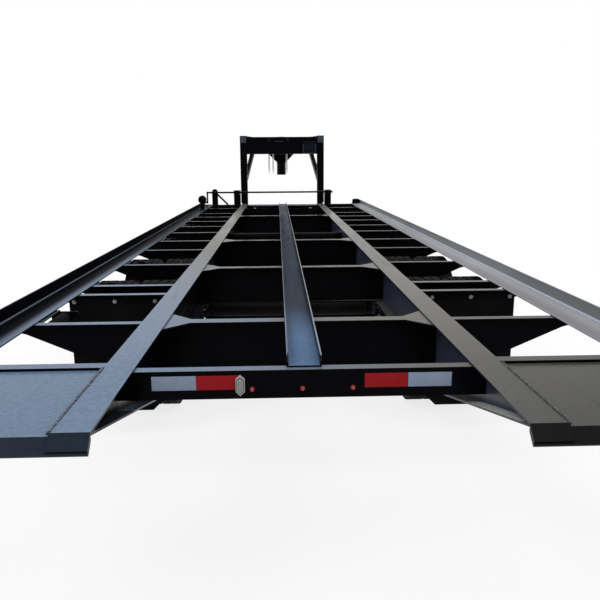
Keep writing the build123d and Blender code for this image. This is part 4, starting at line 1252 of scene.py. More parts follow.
@dataclass
class DualTyre:
    """One road tyre: carcass with side ribs, and four rows of tread blocks."""

    radius: float = 0.3935
    tread_depth: float = 0.0115
    half_width: float = 0.1175
    bead_radius: float = 0.2035
    flange_radius: float = 0.2165
    bead_half: float = 0.0795
    blocks: int = 54
    block_width: float = 0.041
    block_share: float = 0.74
    block_height: float = 0.9
    block_seat: float = 0.55
    rows: tuple[Span, ...] = ((-0.083, 0.0), (-0.031, 0.5), (0.031, 0.0), (0.083, 0.5))

    def profile(self) -> list[Span]:
        """Draws the outline of the carcass.

        Returns:
            Pairs of distance along the axle and radius.
        """
        wide, flange, carcass = self.half_width, self.flange_radius, self.radius - self.tread_depth
        side = [
            (self.bead_half, self.bead_radius), (self.bead_half, flange), (wide - 0.012, flange + 0.018),
            (wide - 0.006, flange + 0.036), (wide - 0.0045, flange + 0.037), (wide - 0.0025, flange + 0.052),
            (wide - 0.0005, flange + 0.054), (wide, 0.308), (wide, 0.318), (wide - 0.003, 0.320),
            (wide - 0.0025, 0.344), (wide - 0.0008, 0.346), (wide - 0.0012, 0.354),
            (wide - 0.008, carcass - 0.008), (wide - 0.017, carcass - 0.001), (wide - 0.050, carcass),
        ]
        return side + [(-a, r) for a, r in reversed(side)]

    def tread(self, name: str, centres: Iterable[Point], finish: Finish, body: str) -> None:
        """Lays the tread blocks of several tyres.

        Args:
            name: Name of the piece.
            centres: The tyres' centres.
            finish: The tread's material.
            body: The body that they ride on.
        """
        base = self.radius - self.tread_depth * self.block_seat
        places = []
        for centre in centres:
            for across, phase in self.rows:
                middle = Vector(centre) + Vector((across, 0.0, 0.0))
                places += [(middle + out * base, out) for out in spokes(self.blocks, phase)]
        length = 2 * math.pi * self.radius / self.blocks * self.block_share
        height = self.tread_depth * self.block_height
        sizes = {"Block Width": self.block_width, "Block Length": length, "Block Height": height}
        pattern = Pattern("Tread blocks", **sizes)
        inputs = {axis: pattern.size(label) for axis, label in zip("XYZ", sizes)}
        size = pattern.node("ShaderNodeCombineXYZ", inputs=inputs)
        cube = pattern.node("GeometryNodeMeshCube", inputs={"Size": size})
        pattern.repeat(cube, pattern.size("Geometry"), finish, Rotation=pattern.facing("X"))
        seat(pattern.on(name, spots(places)), finish, body, Slot.TYRE)


@dataclass
class DualRim:
    """One disc wheel: rim with flanges, dished disc with hand holes, and its valve."""

    rim_radius: float = 0.2030
    flange_radius: float = 0.2160
    half_width: float = 0.088
    wall: float = 0.008
    face_offset: float = 0.1335
    hub_flange_radius: float = 0.140
    bore_radius: float = 0.080
    hand_holes: int = 8
    hole_radius: float = 0.0155
    hole_circle: float = 0.1615
    valve_radius: float = 0.004

    def mesh(self) -> bpy.types.Mesh:
        """Builds the wheel about X, with its mounting face at X = 0 and its rim at +X.

        Returns:
            The wheel's mesh.
        """
        whole = Form()
        for part in (self._rim(), self._disc()):
            whole.copy_in(part, Matrix.Identity(4))
        whole.rod([(0.060, 0.0, 0.176), (0.085, 0.0, 0.172), (0.110, 0.0, 0.163)], self.valve_radius, 8)
        return whole.to_mesh("dual_rim")

    def _rim(self) -> bpy.types.Mesh:
        """Turns the rim, with its flanges and its drop centre.

        Returns:
            The rim's mesh.
        """
        middle, rim, wall, flange = self.face_offset, self.rim_radius, self.wall, self.flange_radius
        back, front = middle - self.half_width, middle + self.half_width
        drop = rim - wall - 0.012
        profile = [
            (back, flange), (back, rim - wall * 0.6), (back + 0.020, rim - wall), (middle - 0.030, drop),
            (middle + 0.010, drop), (front - 0.020, rim - wall), (front, rim - wall * 0.6), (front, flange),
            (front - wall * 0.7, flange), (front - wall, rim), (middle + 0.014, rim - 0.010),
            (middle - 0.034, rim - 0.010), (back + wall, rim), (back + wall * 0.7, flange),
        ]
        return Form().turned(profile, ORIGIN, X_AXIS, 64).to_mesh("rim")

    def _disc(self) -> bpy.types.Mesh:
        """Turns the dished disc and cuts its hand holes.

        Returns:
            The disc's mesh.
        """
        foot = self.rim_radius - self.wall - 0.0085
        dish = [
            (0.0, self.bore_radius), (0.0, self.hub_flange_radius), (0.020, 0.155), (0.052, 0.172),
            (0.066, foot), (0.080, foot), (0.063, 0.163), (0.030, 0.145), (0.010, 0.132),
            (0.009, self.bore_radius),
        ]
        bar = [(-0.05, 0.0), (-0.05, self.hole_radius), (0.12, self.hole_radius), (0.12, 0.0)]
        disc = linked("disc_seed", Form().turned(dish, ORIGIN, X_AXIS, 64).to_mesh("disc"))
        holes = Form()
        for spoke in spokes(self.hand_holes):
            holes.turned(bar, spoke * self.hole_circle, X_AXIS, 20)
        cutter = linked("disc_cutter", holes.to_mesh("cutter"))
        cut = disc.modifiers.new("holes", "BOOLEAN")
        cut.object = cutter
        cut.solver = "EXACT"
        bpy.context.view_layer.update()
        pierced = evaluated(disc)
        bpy.data.objects.remove(cutter)
        return pierced


@dataclass
class WheelSet:
    """A pair of wheels with tyres on one end of one axle."""

    axle: Axle
    side: Side
    finishes: Finishes
    rim_mesh: bpy.types.Mesh
    nuts: int = 8
    nut_circle: float = 0.108
    nut_radius: float = 0.017
    screws: int = 6
    screw_circle: float = 0.065
    screw_radius: float = 0.005
    nut_face: float = 0.010
    cap_face: float = 0.1175

    @property
    def body(self) -> str:
        """The body that the set is."""
        return f"wheels_{self.axle.word}_{self.side.word}"

    @property
    def centre(self) -> Vector:
        """Middle of the pair, on the axle's line."""
        middle = self.side.value * sum(LAYOUT.tyre_x) / 2
        return Vector((middle, LAYOUT.axle_y(self.axle), LAYOUT.axle_z))

    def build(self) -> None:
        """Builds and dresses the tyres, rims, hub and nuts."""
        finishes, body, tyre = self.finishes, self.body, DualTyre()
        centres = [(self.side.value * x, self.centre.y, self.centre.z) for x in LAYOUT.tyre_x]
        carcasses = Form()
        for centre in centres:
            carcasses.turned(tyre.profile(), centre, X_AXIS, 72)
        tyres = f"tyres_{self.axle.word}_{self.side.word}"
        carcasses.piece(f"{body}_carcasses", finishes.tyre, body, Slot.TYRE, tyres, smooth_angle=25.0)
        tyre.tread(f"{body}_tread", centres, finishes.tread, body)
        place, turn = Matrix.Translation(self.centre), Matrix.Rotation(math.pi, 4, "Z")
        outward = place if self.side is Side.RIGHT else place @ turn
        rims = Form().copy_in(self.rim_mesh, outward).copy_in(self.rim_mesh, outward @ turn)
        rims.piece(f"{body}_rims", finishes.wheel, body, Slot.WHEEL, body)
        self._hub()
        self._nuts()

    def _hub(self) -> None:
        """Adds the brake drum, the hub and its cap."""
        drum = [
            (-0.2265, 0.165), (-0.2265, 0.151), (-0.056, 0.151), (-0.056, 0.070), (-0.020, 0.070),
            (-0.020, 0.158), (-0.030, 0.165), (-0.060, 0.165), (-0.064, 0.162), (-0.070, 0.165),
        ]
        hub = [
            (-0.2265, 0.0301), (-0.2265, 0.044), (-0.136, 0.044), (-0.014, 0.078), (0.100, 0.078),
            (0.108, 0.072), (0.112, 0.072), (0.112, 0.0), (0.110, 0.0), (0.110, 0.0301),
        ]
        shell = [
            (0.1125, 0.0), (0.1125, 0.070), (0.118, 0.070), (0.120, 0.062), (0.150, 0.058), (0.156, 0.050),
            (0.158, 0.0),
        ]
        plug = [(0.158, 0.0), (0.158, 0.018), (0.165, 0.018), (0.167, 0.014), (0.167, 0.0)]
        centre, out = self.centre, self.side.out
        middle = Form().turned(drum, centre, out, 56).turned(hub, centre, out, 40)
        middle.piece(f"{self.body}_drum", self.finishes.under, self.body, Slot.WHEEL)
        cap = Form().turned(shell, centre, out, 32).turned(plug, centre, out, 6)
        cap.piece(f"{self.body}_cap", self.finishes.chrome, self.body, Slot.CHROME)

    def _nuts(self) -> None:
        """Adds the wheel nuts on the outer disc and the cap's screws."""
        zinc, out = self.finishes.bolt, self.side.out
        face, cap = self.centre + out * self.nut_face, self.centre + out * self.cap_face
        nuts = [(face + spoke * self.nut_circle, out) for spoke in spokes(self.nuts, 0.5)]
        screws = [(cap + spoke * self.screw_circle, out) for spoke in spokes(self.screws)]
        bolts(f"{self.body}_nuts", nuts, self.nut_radius, zinc, self.body)
        bolts(f"{self.body}_cap_screws", screws, self.screw_radius, zinc, self.body)


# Tail


@dataclass
class Tail:
    """What sits on the bumper and the tail lip: tape, lamps, the plate lamp and the rails' bent ends."""

    finishes: Finishes
    face_y: float = -5.292
    off_centre: float = -0.0065
    tape_white: Span = (0.3615, 0.511)
    tape_red: Span = (0.212, 0.3605)
    tape_z: Span = (0.7505, 0.8010)
    tape_thickness: float = 0.0008
    lamp_pitch: float = 0.172
    lamp_z: float = 0.7525
    lamp_radius: float = 0.0100
    plate_lamp_x: float = -0.212
    plate_lamp_z: float = 0.7675
    groove_pitch: float = 0.0048
    groove_half: float = 0.0007
    groove_reach: float = 0.019
    groove_proud: Span = (0.0186, 0.0170)
    lip_x: Span = (0.576, 0.684)

    def build(self) -> None:
        """Builds and dresses the tail's pieces."""
        self._tape("white", self.tape_white, self.finishes.tape_white)
        self._tape("red", self.tape_red, self.finishes.tape_red)
        self._lamps()
        self._plate_lamp()
        self._flange_ends()

    def _tape(self, colour: str, run: Span, finish: Finish) -> None:
        """Lays one colour of tape on both halves of the bumper.

        Args:
            colour: The colour's word.
            run: Where the tape starts and ends beside the middle.
            finish: Its material.
        """
        form = Form()
        low_z, high_z = self.tape_z
        for side in Side:
            low_x, high_x = sorted(side.value * x + self.off_centre for x in run)
            low = (low_x, self.face_y - self.tape_thickness, low_z)
            form.block(low, (high_x, self.face_y + self.tape_thickness / 2, high_z), 0.0002)
        form.piece(f"bumper_tape_{colour}", finish, "deck", Slot.PAINT)

    def _lamps(self) -> None:
        """Builds the three round red lamps in their rubber rings."""
        lenses, rings = Form(), Form()
        r = self.lamp_radius
        dome = [
            (0.0, 0.0), (0.0, r * 0.78), (0.008, r * 0.78), (0.0115, r * 0.6), (0.0135, r * 0.3),
            (0.0138, 0.0),
        ]
        lip = [(0.0, r * 0.70), (0.0, r), (0.003, r), (0.005, r * 0.93), (0.005, r * 0.80), (0.003, r * 0.70)]
        for x in (-self.lamp_pitch, 0.0, self.lamp_pitch):
            spot = (x + self.off_centre, self.face_y, self.lamp_z)
            lenses.turned(dome, spot, BACKWARDS, 28)
            rings.turned(lip, spot, BACKWARDS, 28)
        lenses.piece("tail_lamp_lenses", self.finishes.lens, "deck", Slot.LAMP, "tail_lamps")
        rings.piece("tail_lamp_rings", self.finishes.grip, "deck", Slot.FLAP)

    def _plate_lamp(self) -> None:
        """Builds the narrow ribbed lamp left of the lamps, pointed at both ends."""
        x, y, z = self.plate_lamp_x + self.off_centre, self.face_y, self.plate_lamp_z
        shell, groove = Form(), Form()
        layers = (
            (shell, 0.0155, 0.0225, 0.0365, 0.013),
            (groove, 0.0120, 0.0195, 0.0300, 0.015),
            (shell, 0.0098, 0.0175, 0.0262, 0.018),
        )
        for form, half, shoulder, tip, depth in layers:
            outline = [(-half, -shoulder), (0.0, -tip), (half, -shoulder)]
            outline += [(-a, -b) for a, b in outline]
            form.prism(outline, (x, y - depth / 2, z), X_AXIS, depth, 0.0008)
        back, front = (y - proud for proud in self.groove_proud)
        low_z, high_z = z - self.groove_reach, z + self.groove_reach
        for step in (-1, 0, 1):
            low_x, high_x = (x + step * self.groove_pitch + way * self.groove_half for way in (-1, 1))
            groove.block((low_x, back, low_z), (high_x, front, high_z), 0.0)
        shell.piece("plate_lamp_shell", self.finishes.lamp_shell, "deck", Slot.BOX)
        groove.piece("plate_lamp_grooves", self.finishes.grip, "deck", Slot.FLAP)

    def _flange_ends(self) -> None:
        """Bends the main rails' top flanges down over the tail lip."""
        ends = Form()
        outline = [(0.037, 0.825), (0.0005, 0.7885), (0.0055, 0.7835), (0.037, 0.8150)]
        inner, outer = self.lip_x
        for side in Side:
            origin = (side.value * (inner + outer) / 2, LAYOUT.tail_y, 0.0)
            ends.prism(outline, origin, Y_AXIS, outer - inner)
        ends.piece("rail_flange_ends", self.finishes.paint, "deck", Slot.PAINT)


# Deck


@dataclass
class SideRail:
    """A side rail's angle: flat leg, rounded fillet and upright lip."""

    side: Side
    finish: Finish
    start_y: float = -5.207
    under_z: float = 0.8186
    leg: float = 0.152
    lip: float = 0.068
    thickness: float = 0.0064
    fillet: float = 0.008
    corner: float = 0.001

    def outline(self) -> list[Span]:
        """Draws the angle's section, with short flats beside its rounds.

        Returns:
            Pairs of distance from the trailer's middle and height.
        """
        outer, inner = LAYOUT.half_width, LAYOUT.half_width - self.thickness
        low, top, crest = self.under_z, LAYOUT.deck_top, self.under_z + self.lip
        edge, c, r = LAYOUT.half_width - self.leg, self.corner, self.fillet
        turns = [math.radians(90.0 - 15.0 * step) for step in range(7)]
        return [
            (edge, low + c), (edge + c, low), (outer - 3 * c, low), (outer - c, low + c),
            (outer, low + 3 * c), (outer, crest - c), (outer - c, crest), (inner + c, crest),
            (inner, crest - c), (inner, top + r + c / 2),
            *((inner - r + r * math.sin(a), top + r - r * math.cos(a)) for a in turns),
            (inner - r - c / 2, top), (edge + c, top), (edge, top - c),
        ]

    def build(self) -> None:
        """Builds and dresses the rail."""
        origin = (0.0, (self.start_y + LAYOUT.front_y) / 2, 0.0)
        form = Form().prism(self.outline(), origin, self.side.out, LAYOUT.front_y - self.start_y)
        word = self.side.word
        form.piece(f"side_rail_{word}_angle", self.finish, "deck", Slot.PAINT, f"side_rail_{word}")


@dataclass
class DeckTrim:
    """Welds, painted edge highlights, flap bolts and tip webs of the deck."""

    finishes: Finishes
    tail_weld_x: float = 0.6848
    tail_weld_z: float = 0.8238
    tail_weld_run: Span = (0.560, 0.040)
    tail_bead: float = 0.0064
    tie_welds: tuple[Span, ...] = ((1.1472, 0.8195), (0.6848, 0.8196))
    tie_half: float = 0.0225
    tie_bead: float = 0.0028
    channel_top: float = 0.862
    channel_insets: Span = (0.556, 0.013)
    worn_channel: tuple[tuple[float, ...], ...] = (
        (0.060, 0.0042, 0.0003, 0.0005, 0.0010), (-0.060, 0.0003, 0.0018, 0.0004, 0.0008)
    )
    worn_depth: float = 0.003
    beam_half: float = 0.575
    beam_insets: Span = (0.1045, 0.1015)
    beam_face: Span = (0.8010, 0.8185)
    flap_station: float = 1.8148
    flap_bar_x: Span = (0.722, 1.202)
    flap_bar_z: Span = (0.768, 0.796)
    flap_bolt_x: tuple[float, ...] = (0.748, 0.962, 1.176)
    flap_bolt_radius: float = 0.0080
    first_web: int = 5
    web_thickness: float = 0.0060

    def build(self) -> None:
        """Builds and dresses the deck's small pieces."""
        self._welds()
        self._edges()
        self._flap_bolts()
        self._tip_webs()

    def _welds(self) -> None:
        """Lays the tail's long welds and the short ones at each outrigger."""
        tail, ties = [], []
        for side in Side:
            x = side.value * self.tail_weld_x
            tail.append([(x, LAYOUT.tail_y + run, self.tail_weld_z) for run in self.tail_weld_run])
            for index in range(len(LAYOUT.stations)):
                y = LAYOUT.outrigger_y(index)
                ties += [level_bead(side.value * x, y, z, self.tie_half) for x, z in self.tie_welds]
        weld_beads("tail_plate_welds", tail, self.tail_bead, self.finishes.weld)
        weld_beads("outrigger_welds", ties, self.tie_bead, self.finishes.weld)

    def _edges(self) -> None:
        """Lays bright strips of painted highlight along the edges of the centre channel and the front beam.
        """
        start, end = LAYOUT.tail_y + self.channel_insets[0], LAYOUT.front_y - self.channel_insets[1]
        back, front = (LAYOUT.front_y - inset for inset in self.beam_insets)
        low, top = self.channel_top - self.worn_depth, self.channel_top
        low_z, high_z = self.beam_face
        form = Form()
        for edge_x, before, past, rise, bevel in self.worn_channel:
            form.block((edge_x - before, start, low), (edge_x + past, end, top + rise), bevel)
        form.block((-self.beam_half, back, low_z), (self.beam_half, front, high_z), 0.0008)
        form.piece("worn_edges", self.finishes.worn_edge, "deck", Slot.PAINT)

    def _flap_bolts(self) -> None:
        """Sets three bolts across the top of each mud flap, on a clamp bar."""
        y = LAYOUT.tail_y + self.flap_station
        low_z, high_z = self.flap_bar_z
        bar, places = Form(), []
        for side in Side:
            low_x, high_x = sorted(side.value * x for x in self.flap_bar_x)
            bar.block((low_x, y - 0.0030, low_z), (high_x, y, high_z), 0.0010)
            for x in self.flap_bolt_x:
                places.append(((side.value * x, y - 0.0035, (low_z + high_z) / 2), BACKWARDS))
        bar.piece("flap_clamp_bars", self.finishes.low_paint, "deck", Slot.PAINT)
        bolts("flap_bolts", places, self.flap_bolt_radius, self.finishes.bolt, "deck")

    def _tip_webs(self) -> None:
        """Deepens the outriggers' tips under the side rails by a short web plate."""
        form = Form()
        outline = [
            (0.800, 0.6013), (1.193, 0.7740), (1.279, 0.7950), (1.286, 0.7950), (1.286, 0.7200),
            (1.165, 0.6940),
        ]
        for side in Side:
            for index in range(self.first_web, len(LAYOUT.stations)):
                origin = (0.0, LAYOUT.outrigger_y(index), 0.0)
                form.prism(outline, origin, side.out, self.web_thickness, 0.0008)
        form.piece("outrigger_tip_webs", self.finishes.low_paint, "deck", Slot.PAINT)


@dataclass
class Springs:
    """U-bolts, top plates and eye bolts of one side's leaf springs."""

    side: Side
    finishes: Finishes
    spring_x: float = 0.630
    bolt_x: float = 0.042
    wire: float = 0.008
    axle_radius: float = 0.0635
    clamp_top: float = 0.552
    seat_z: float = 0.518
    plate: tuple[float, float, float] = (0.056, 0.088, 0.012)
    eye_z: float = 0.537
    pivot_z: float = 0.5385
    half_length: float = 0.330
    hanger_half: float = 0.040
    nut_radius: float = 0.0125
    pin_radius: float = 0.0130

    def build(self) -> None:
        """Builds and dresses the pieces."""
        clamps, plates, nuts, pins = Form(), Form(), [], []
        middle, wrap = self.side.value * self.spring_x, self.axle_radius + self.wire
        wide, long, thick = self.plate
        low = [math.radians(a) for a in range(180, 361, 20)]
        for axle in Axle:
            y = LAYOUT.axle_y(axle)
            for x in (middle - self.bolt_x, middle + self.bolt_x):
                bend = [(x, y + wrap * math.cos(a), LAYOUT.axle_z + wrap * math.sin(a)) for a in low]
                ends = [(x, y + way * wrap, self.clamp_top) for way in (-1, 1)]
                clamps.rod([ends[0], *bend, ends[1]], self.wire, 10)
                nuts += [((x, y + way * wrap, self.seat_z + thick + 0.0005), Z_AXIS) for way in (-1, 1)]
            corner = (middle - wide, y - long, self.seat_z)
            plates.block(corner, (middle + wide, y + long, self.seat_z + thick), 0.003)
            for end in (-1, 1):
                pins += self._pair(middle, y + end * self.half_length, self.eye_z)
        pins += self._pair(middle, LAYOUT.wheel_y, self.pivot_z)
        word, under = self.side.word, self.finishes.under
        clamps.piece(f"u_bolts_{word}", under, "deck", Slot.UNDERCARRIAGE)
        plates.piece(f"spring_plates_{word}", under, "deck", Slot.UNDERCARRIAGE)
        bolts(f"u_bolt_nuts_{word}", nuts, self.nut_radius, under, "deck", Slot.UNDERCARRIAGE)
        bolts(f"spring_pins_{word}", pins, self.pin_radius, under, "deck", Slot.UNDERCARRIAGE)

    def _pair(self, middle: float, y: float, z: float) -> list[Placing]:
        """Places of a pin's two heads, on both cheeks of a hanger."""
        return [((middle + way * self.hanger_half, y, z), (float(way), 0.0, 0.0)) for way in (-1, 1)]


@dataclass
class Winches:
    """Rolled straps and ratchets of the strap winches under the left side rail."""

    finishes: Finishes
    middle_x: float = -1.110
    drum_z: float = 0.7846
    drum_radius: float = 0.0212
    start: float = 0.027
    teeth: int = 12
    tooth: Span = (0.0215, 0.0262)
    hub_radius: float = 0.0110
    strap_inset: float = 0.018
    strap_wrap: float = 0.0052
    ratchet_gap: float = 0.0035
    ratchet_thickness: float = 0.005
    lengths: tuple[tuple[int, float], ...] = (
        (0, 0.240), (2, 0.100), (3, 0.180), (5, 0.240), (7, 0.240), (9, 0.240)
    )

    def build(self) -> None:
        """Builds and dresses the pieces."""
        straps, ratchets = Form(), Form()
        hub_r, core = self.hub_radius, self.drum_radius - 0.002
        wrap = self.drum_radius + self.strap_wrap
        shoulder = wrap - 0.0012
        root, tip = self.tooth
        turns = [(math.pi * step / self.teeth, tip if step % 2 else root) for step in range(self.teeth * 2)]
        wheel = [(reach * math.cos(angle), reach * math.sin(angle)) for angle, reach in turns]
        hub = [(-0.010, 0.0), (-0.010, hub_r), (0.004, hub_r), (0.004, 0.0)]
        for index, length in self.lengths:
            low = LAYOUT.outrigger_y(index) + self.start
            half = length / 2 - self.strap_inset
            roll = [(-half, core), (-half, shoulder), (-half + 0.002, wrap)]
            roll += [(-a, radius) for a, radius in reversed(roll)]
            straps.turned(roll, (self.middle_x, low + length / 2, self.drum_z), Y_AXIS, 32)
            spot = (self.middle_x, low - self.ratchet_gap, self.drum_z)
            ratchets.prism(wheel, spot, X_AXIS, self.ratchet_thickness, 0.0005)
            ratchets.turned(hub, spot, Y_AXIS, 16)
        straps.piece("winch_straps", self.finishes.webbing, "deck", Slot.FLAP)
        ratchets.piece("winch_ratchets", self.finishes.bolt, "deck", Slot.ZINC, smooth_angle=20.0)


@dataclass
class LandingGear:
    """Gearbox screws, leg pins and the crank's grip sleeve."""

    finishes: Finishes
    leg_x: float = 0.760
    leg_y: float = 3.397
    gearbox_back: float = 3.297
    screw_x: float = 0.044
    screw_z: Span = (0.990, 1.041)
    screw_radius: float = 0.0055
    pin_z: float = 0.372
    pin_half: float = 0.066
    pin_radius: float = 0.0075
    ring_radius: float = 0.016
    ring_wire: float = 0.0018
    grip: Span = (-1.2770, 0.860)

    def build(self) -> None:
        """Builds and dresses the pieces."""
        screws, pins, rings = [], Form(), Form()
        circle = [math.radians(a) for a in range(0, 360, 24)]
        r, ring_z = self.ring_radius, self.pin_z - 0.014
        for side in Side:
            x = side.value * self.leg_x
            for screw_x in (x - self.screw_x, x + self.screw_x):
                screws += [((screw_x, self.gearbox_back - 0.0005, z), BACKWARDS) for z in self.screw_z]
            ends = [(x + way * self.pin_half, self.leg_y, self.pin_z) for way in (-1, 1)]
            pins.rod(ends, self.pin_radius, 14)
            ring_x = x + side.value * (self.pin_half - 0.002)
            loop = [(ring_x, self.leg_y + r * math.sin(a), ring_z + r * math.cos(a)) for a in circle]
            rings.rod(loop, self.ring_wire, 8, closed=True)
        tube = [(-0.0125, 0.0), (-0.0125, 0.0150), (-0.010, 0.0165)]
        tube += [(-a, radius) for a, radius in reversed(tube)]
        grip_x, grip_z = self.grip
        sleeve = Form().turned(tube, (grip_x, self.gearbox_back, grip_z), X_AXIS, 24)
        bolts("gearbox_screws", screws, self.screw_radius, self.finishes.bolt, "deck")
        pins.piece("leg_pins", self.finishes.bolt, "deck", Slot.ZINC)
        rings.piece("leg_pin_rings", self.finishes.zinc, "deck", Slot.ZINC)
        sleeve.piece("crank_grip_sleeve", self.finishes.grip, "deck", Slot.FLAP)


# Neck


@dataclass
class SafetyChains:
    """Three hanging strands of real links below the neck's head."""

    finishes: Finishes
    top_z: float = 1.735
    bottom_z: float = 1.262
    y: float = 5.537
    wire: float = 0.0125
    inner_length: float = 0.043
    inner_width: float = 0.0185
    first_drop: float = 0.045
    end_room: float = 0.100
    link_overlap: float = 0.15
    pin_radius: float = 0.008
    pin_run: Span = (0.001, -0.028)
    hook_half: Span = (0.0085, 0.0234)
    hook_top: float = 0.026
    hook_wire: float = 0.0035
    strands: tuple[float, ...] = (-0.245, -0.165, 0.108)

    def _link(self) -> bpy.types.Mesh:
        """Builds one link that stands along Z and lies in the XZ plane.

        Returns:
            The link's mesh.
        """
        half_run = (self.inner_length - self.inner_width) / 2
        bend = (self.inner_width + self.wire) / 2
        route = []
        for sign, start in ((1, 0.0), (-1, math.pi)):
            for step in range(7):
                angle = math.pi * step / 6 + start
                route.append((bend * math.cos(angle), 0.0, sign * half_run + bend * math.sin(angle)))
        return Form().rod(route, self.wire / 2, 8, closed=True).to_mesh("link", 60.0)

    def build(self) -> None:
        """Builds the strands with their upper pins and end hooks."""
        link, links, hooks = self._link(), Form(), Form()
        pitch = self.inner_length - self.wire * self.link_overlap
        count = int((self.top_z - self.bottom_z - self.end_room) / pitch)
        first = self.top_z - self.first_drop
        hook_z = first - (count - 1) * pitch - self.inner_length / 2 - self.hook_top
        wide, tall = self.hook_half
        bends = [math.radians(d) for d in range(0, 331, 22)]
        for x in self.strands:
            for step in range(count):
                turn = Matrix.Rotation(math.radians(45.0 + 90.0 * (step % 2)), 4, "Z")
                links.copy_in(link, Matrix.Translation((x, self.y, first - step * pitch)) @ turn)
            hooks.rod([(x, self.y, self.top_z + z) for z in self.pin_run], self.pin_radius, 12)
            throat = [(x + wide * math.sin(a), self.y, hook_z + tall * math.cos(a)) for a in bends]
            hooks.rod(throat, self.hook_wire, 8)
        zinc = self.finishes.zinc
        links.piece("safety_chain_links", zinc, "neck", Slot.ZINC, "safety_chains", smooth_angle=60.0)
        hooks.piece("safety_chain_hooks", zinc, "neck", Slot.ZINC)


@dataclass
class NeckTrim:
    """End plates with a painted reflection, painted highlights on the top box's seams and the tool box's
    edges, tool box, hinge pin caps and coupler bolts of the neck.
    """

    finishes: Finishes
    rear_y: float = 3.342
    plate_x: Span = (0.590, 0.684)
    plate_z: Span = (1.822, 1.930)
    seam_x: tuple[float, ...] = (-0.212, 0.098)
    seam_half: float = 0.0035
    seam_z: Span = (1.843, 1.908)
    cross_seam_x: Span = (-0.123, 0.025)
    plate_proud: float = 0.0022
    seam_proud: float = 0.0016
    sunk: float = 0.0004
    box_low: tuple[float, float, float] = (0.341, 3.243, 1.641)
    box_high: tuple[float, float, float] = (0.561, 3.342, 1.839)
    lid_height: float = 0.040
    lid_gap: float = 0.0015
    latch_half: float = 0.016
    pin_end: float = 0.6966
    set_bolt_z: Span = (1.440, 1.560)
    set_bolt_radius: float = 0.0130
    sleeve_radius: float = 0.0885
    ring_z: Span = (1.300, 1.372)

    def build(self) -> None:
        """Builds and dresses the pieces."""
        self._plates()
        self._box()
        self._pins()
        self._coupler()

    def _plates(self) -> None:
        """Lays slate end plates with a painted reflection on the uprights, and light strips of painted
        highlight along the seams of the top box.
        """
        plates, seams = Form(), Form()
        front, back = self.rear_y + self.sunk, self.rear_y - self.plate_proud
        low_z, high_z = self.plate_z
        for side in Side:
            low_x, high_x = sorted(side.value * x for x in self.plate_x)
            plates.block((low_x, back, low_z), (high_x, front, high_z), 0.0008)
        back, half = self.rear_y - self.seam_proud, self.seam_half
        low_z, high_z = self.seam_z
        for x in self.seam_x:
            seams.block((x - half, back, low_z), (x + half, front, high_z), 0.0006)
        low_x, high_x = self.cross_seam_x
        seams.block((low_x, back, low_z - half), (high_x, front, low_z + half), 0.0006)
        plates.piece("upright_end_plates", self.finishes.slate, "neck", Slot.PAINT)
        seams.piece("top_box_seams", self.finishes.slate, "neck", Slot.PAINT)

    def _box(self) -> None:
        """Builds the tool box with its lid, core and latch, and light strips of painted highlight along its
        edges.
        """
        (x0, y0, z0), (x1, y1, z1) = self.box_low, self.box_high
        shell, edges = Form(), Form()
        lid, middle = z1 - self.lid_height, (x0 + x1) / 2
        left, right = middle - self.latch_half, middle + self.latch_half
        shell.block((x0, y0, z0), (x1, y1, lid - self.lid_gap), 0.006)
        shell.block((x0, y0, lid + self.lid_gap), (x1, y1, z1), 0.006)
        shell.block((x0 + 0.006, y0 + 0.006, z0 + 0.05), (x1 - 0.006, y1, z1 - 0.01), 0.002)
        shell.block((left, y0 - 0.0008, lid - 0.022), (right, y0 + 0.004, lid + 0.012), 0.002)
        # Painted highlights along the tool box's edges.
        for low_x, high_x in ((x0 + 0.004, x0 + 0.013), (x1 - 0.013, x1 - 0.004)):
            edges.block((low_x, y0 - 0.0006, z0 + 0.006), (high_x, y0 + 0.001, lid - 0.008), 0.0004)
        edges.block((x0 + 0.006, y0 - 0.0007, z0 + 0.004), (x1 - 0.006, y0 + 0.001, z0 + 0.012), 0.0004)
        shell.piece("tool_box_shell", self.finishes.box, "neck", Slot.BOX, "equipment_box")
        edges.piece("tool_box_edges", self.finishes.slate, "neck", Slot.BOX)

    def _pins(self) -> None:
        """Adds a cap on the outer end of each hinge pin."""
        caps = Form()
        cap = [(0.0, 0.0), (0.0, 0.031), (0.002, 0.032), (0.0035, 0.031), (0.0045, 0.028), (0.0045, 0.0)]
        for side in Side:
            caps.turned(cap, (side.value * self.pin_end, LAYOUT.hinge_y, LAYOUT.hinge_z), side.out, 32)
        caps.piece("hinge_pin_caps", self.finishes.bolt, "neck", Slot.ZINC)

    def _coupler(self) -> None:
        """Adds the coupler's set bolts and the rings round its sleeve."""
        r, y = self.sleeve_radius, LAYOUT.sleeve_y
        places = [((0.0, y - r, z), BACKWARDS) for z in self.set_bolt_z]
        under = self.finishes.under
        bolts("coupler_set_bolts", places, self.set_bolt_radius, under, "neck", Slot.UNDERCARRIAGE)
        rings = Form()
        band = [(-0.006, r), (-0.006, r + 0.003), (-0.004, r + 0.0045)]
        band += [(-a, radius) for a, radius in reversed(band)]
        for z in self.ring_z:
            rings.turned(band, (0.0, y, z), Z_AXIS, 40)
        rings.piece("coupler_rings", self.finishes.low_paint, "neck", Slot.PAINT)


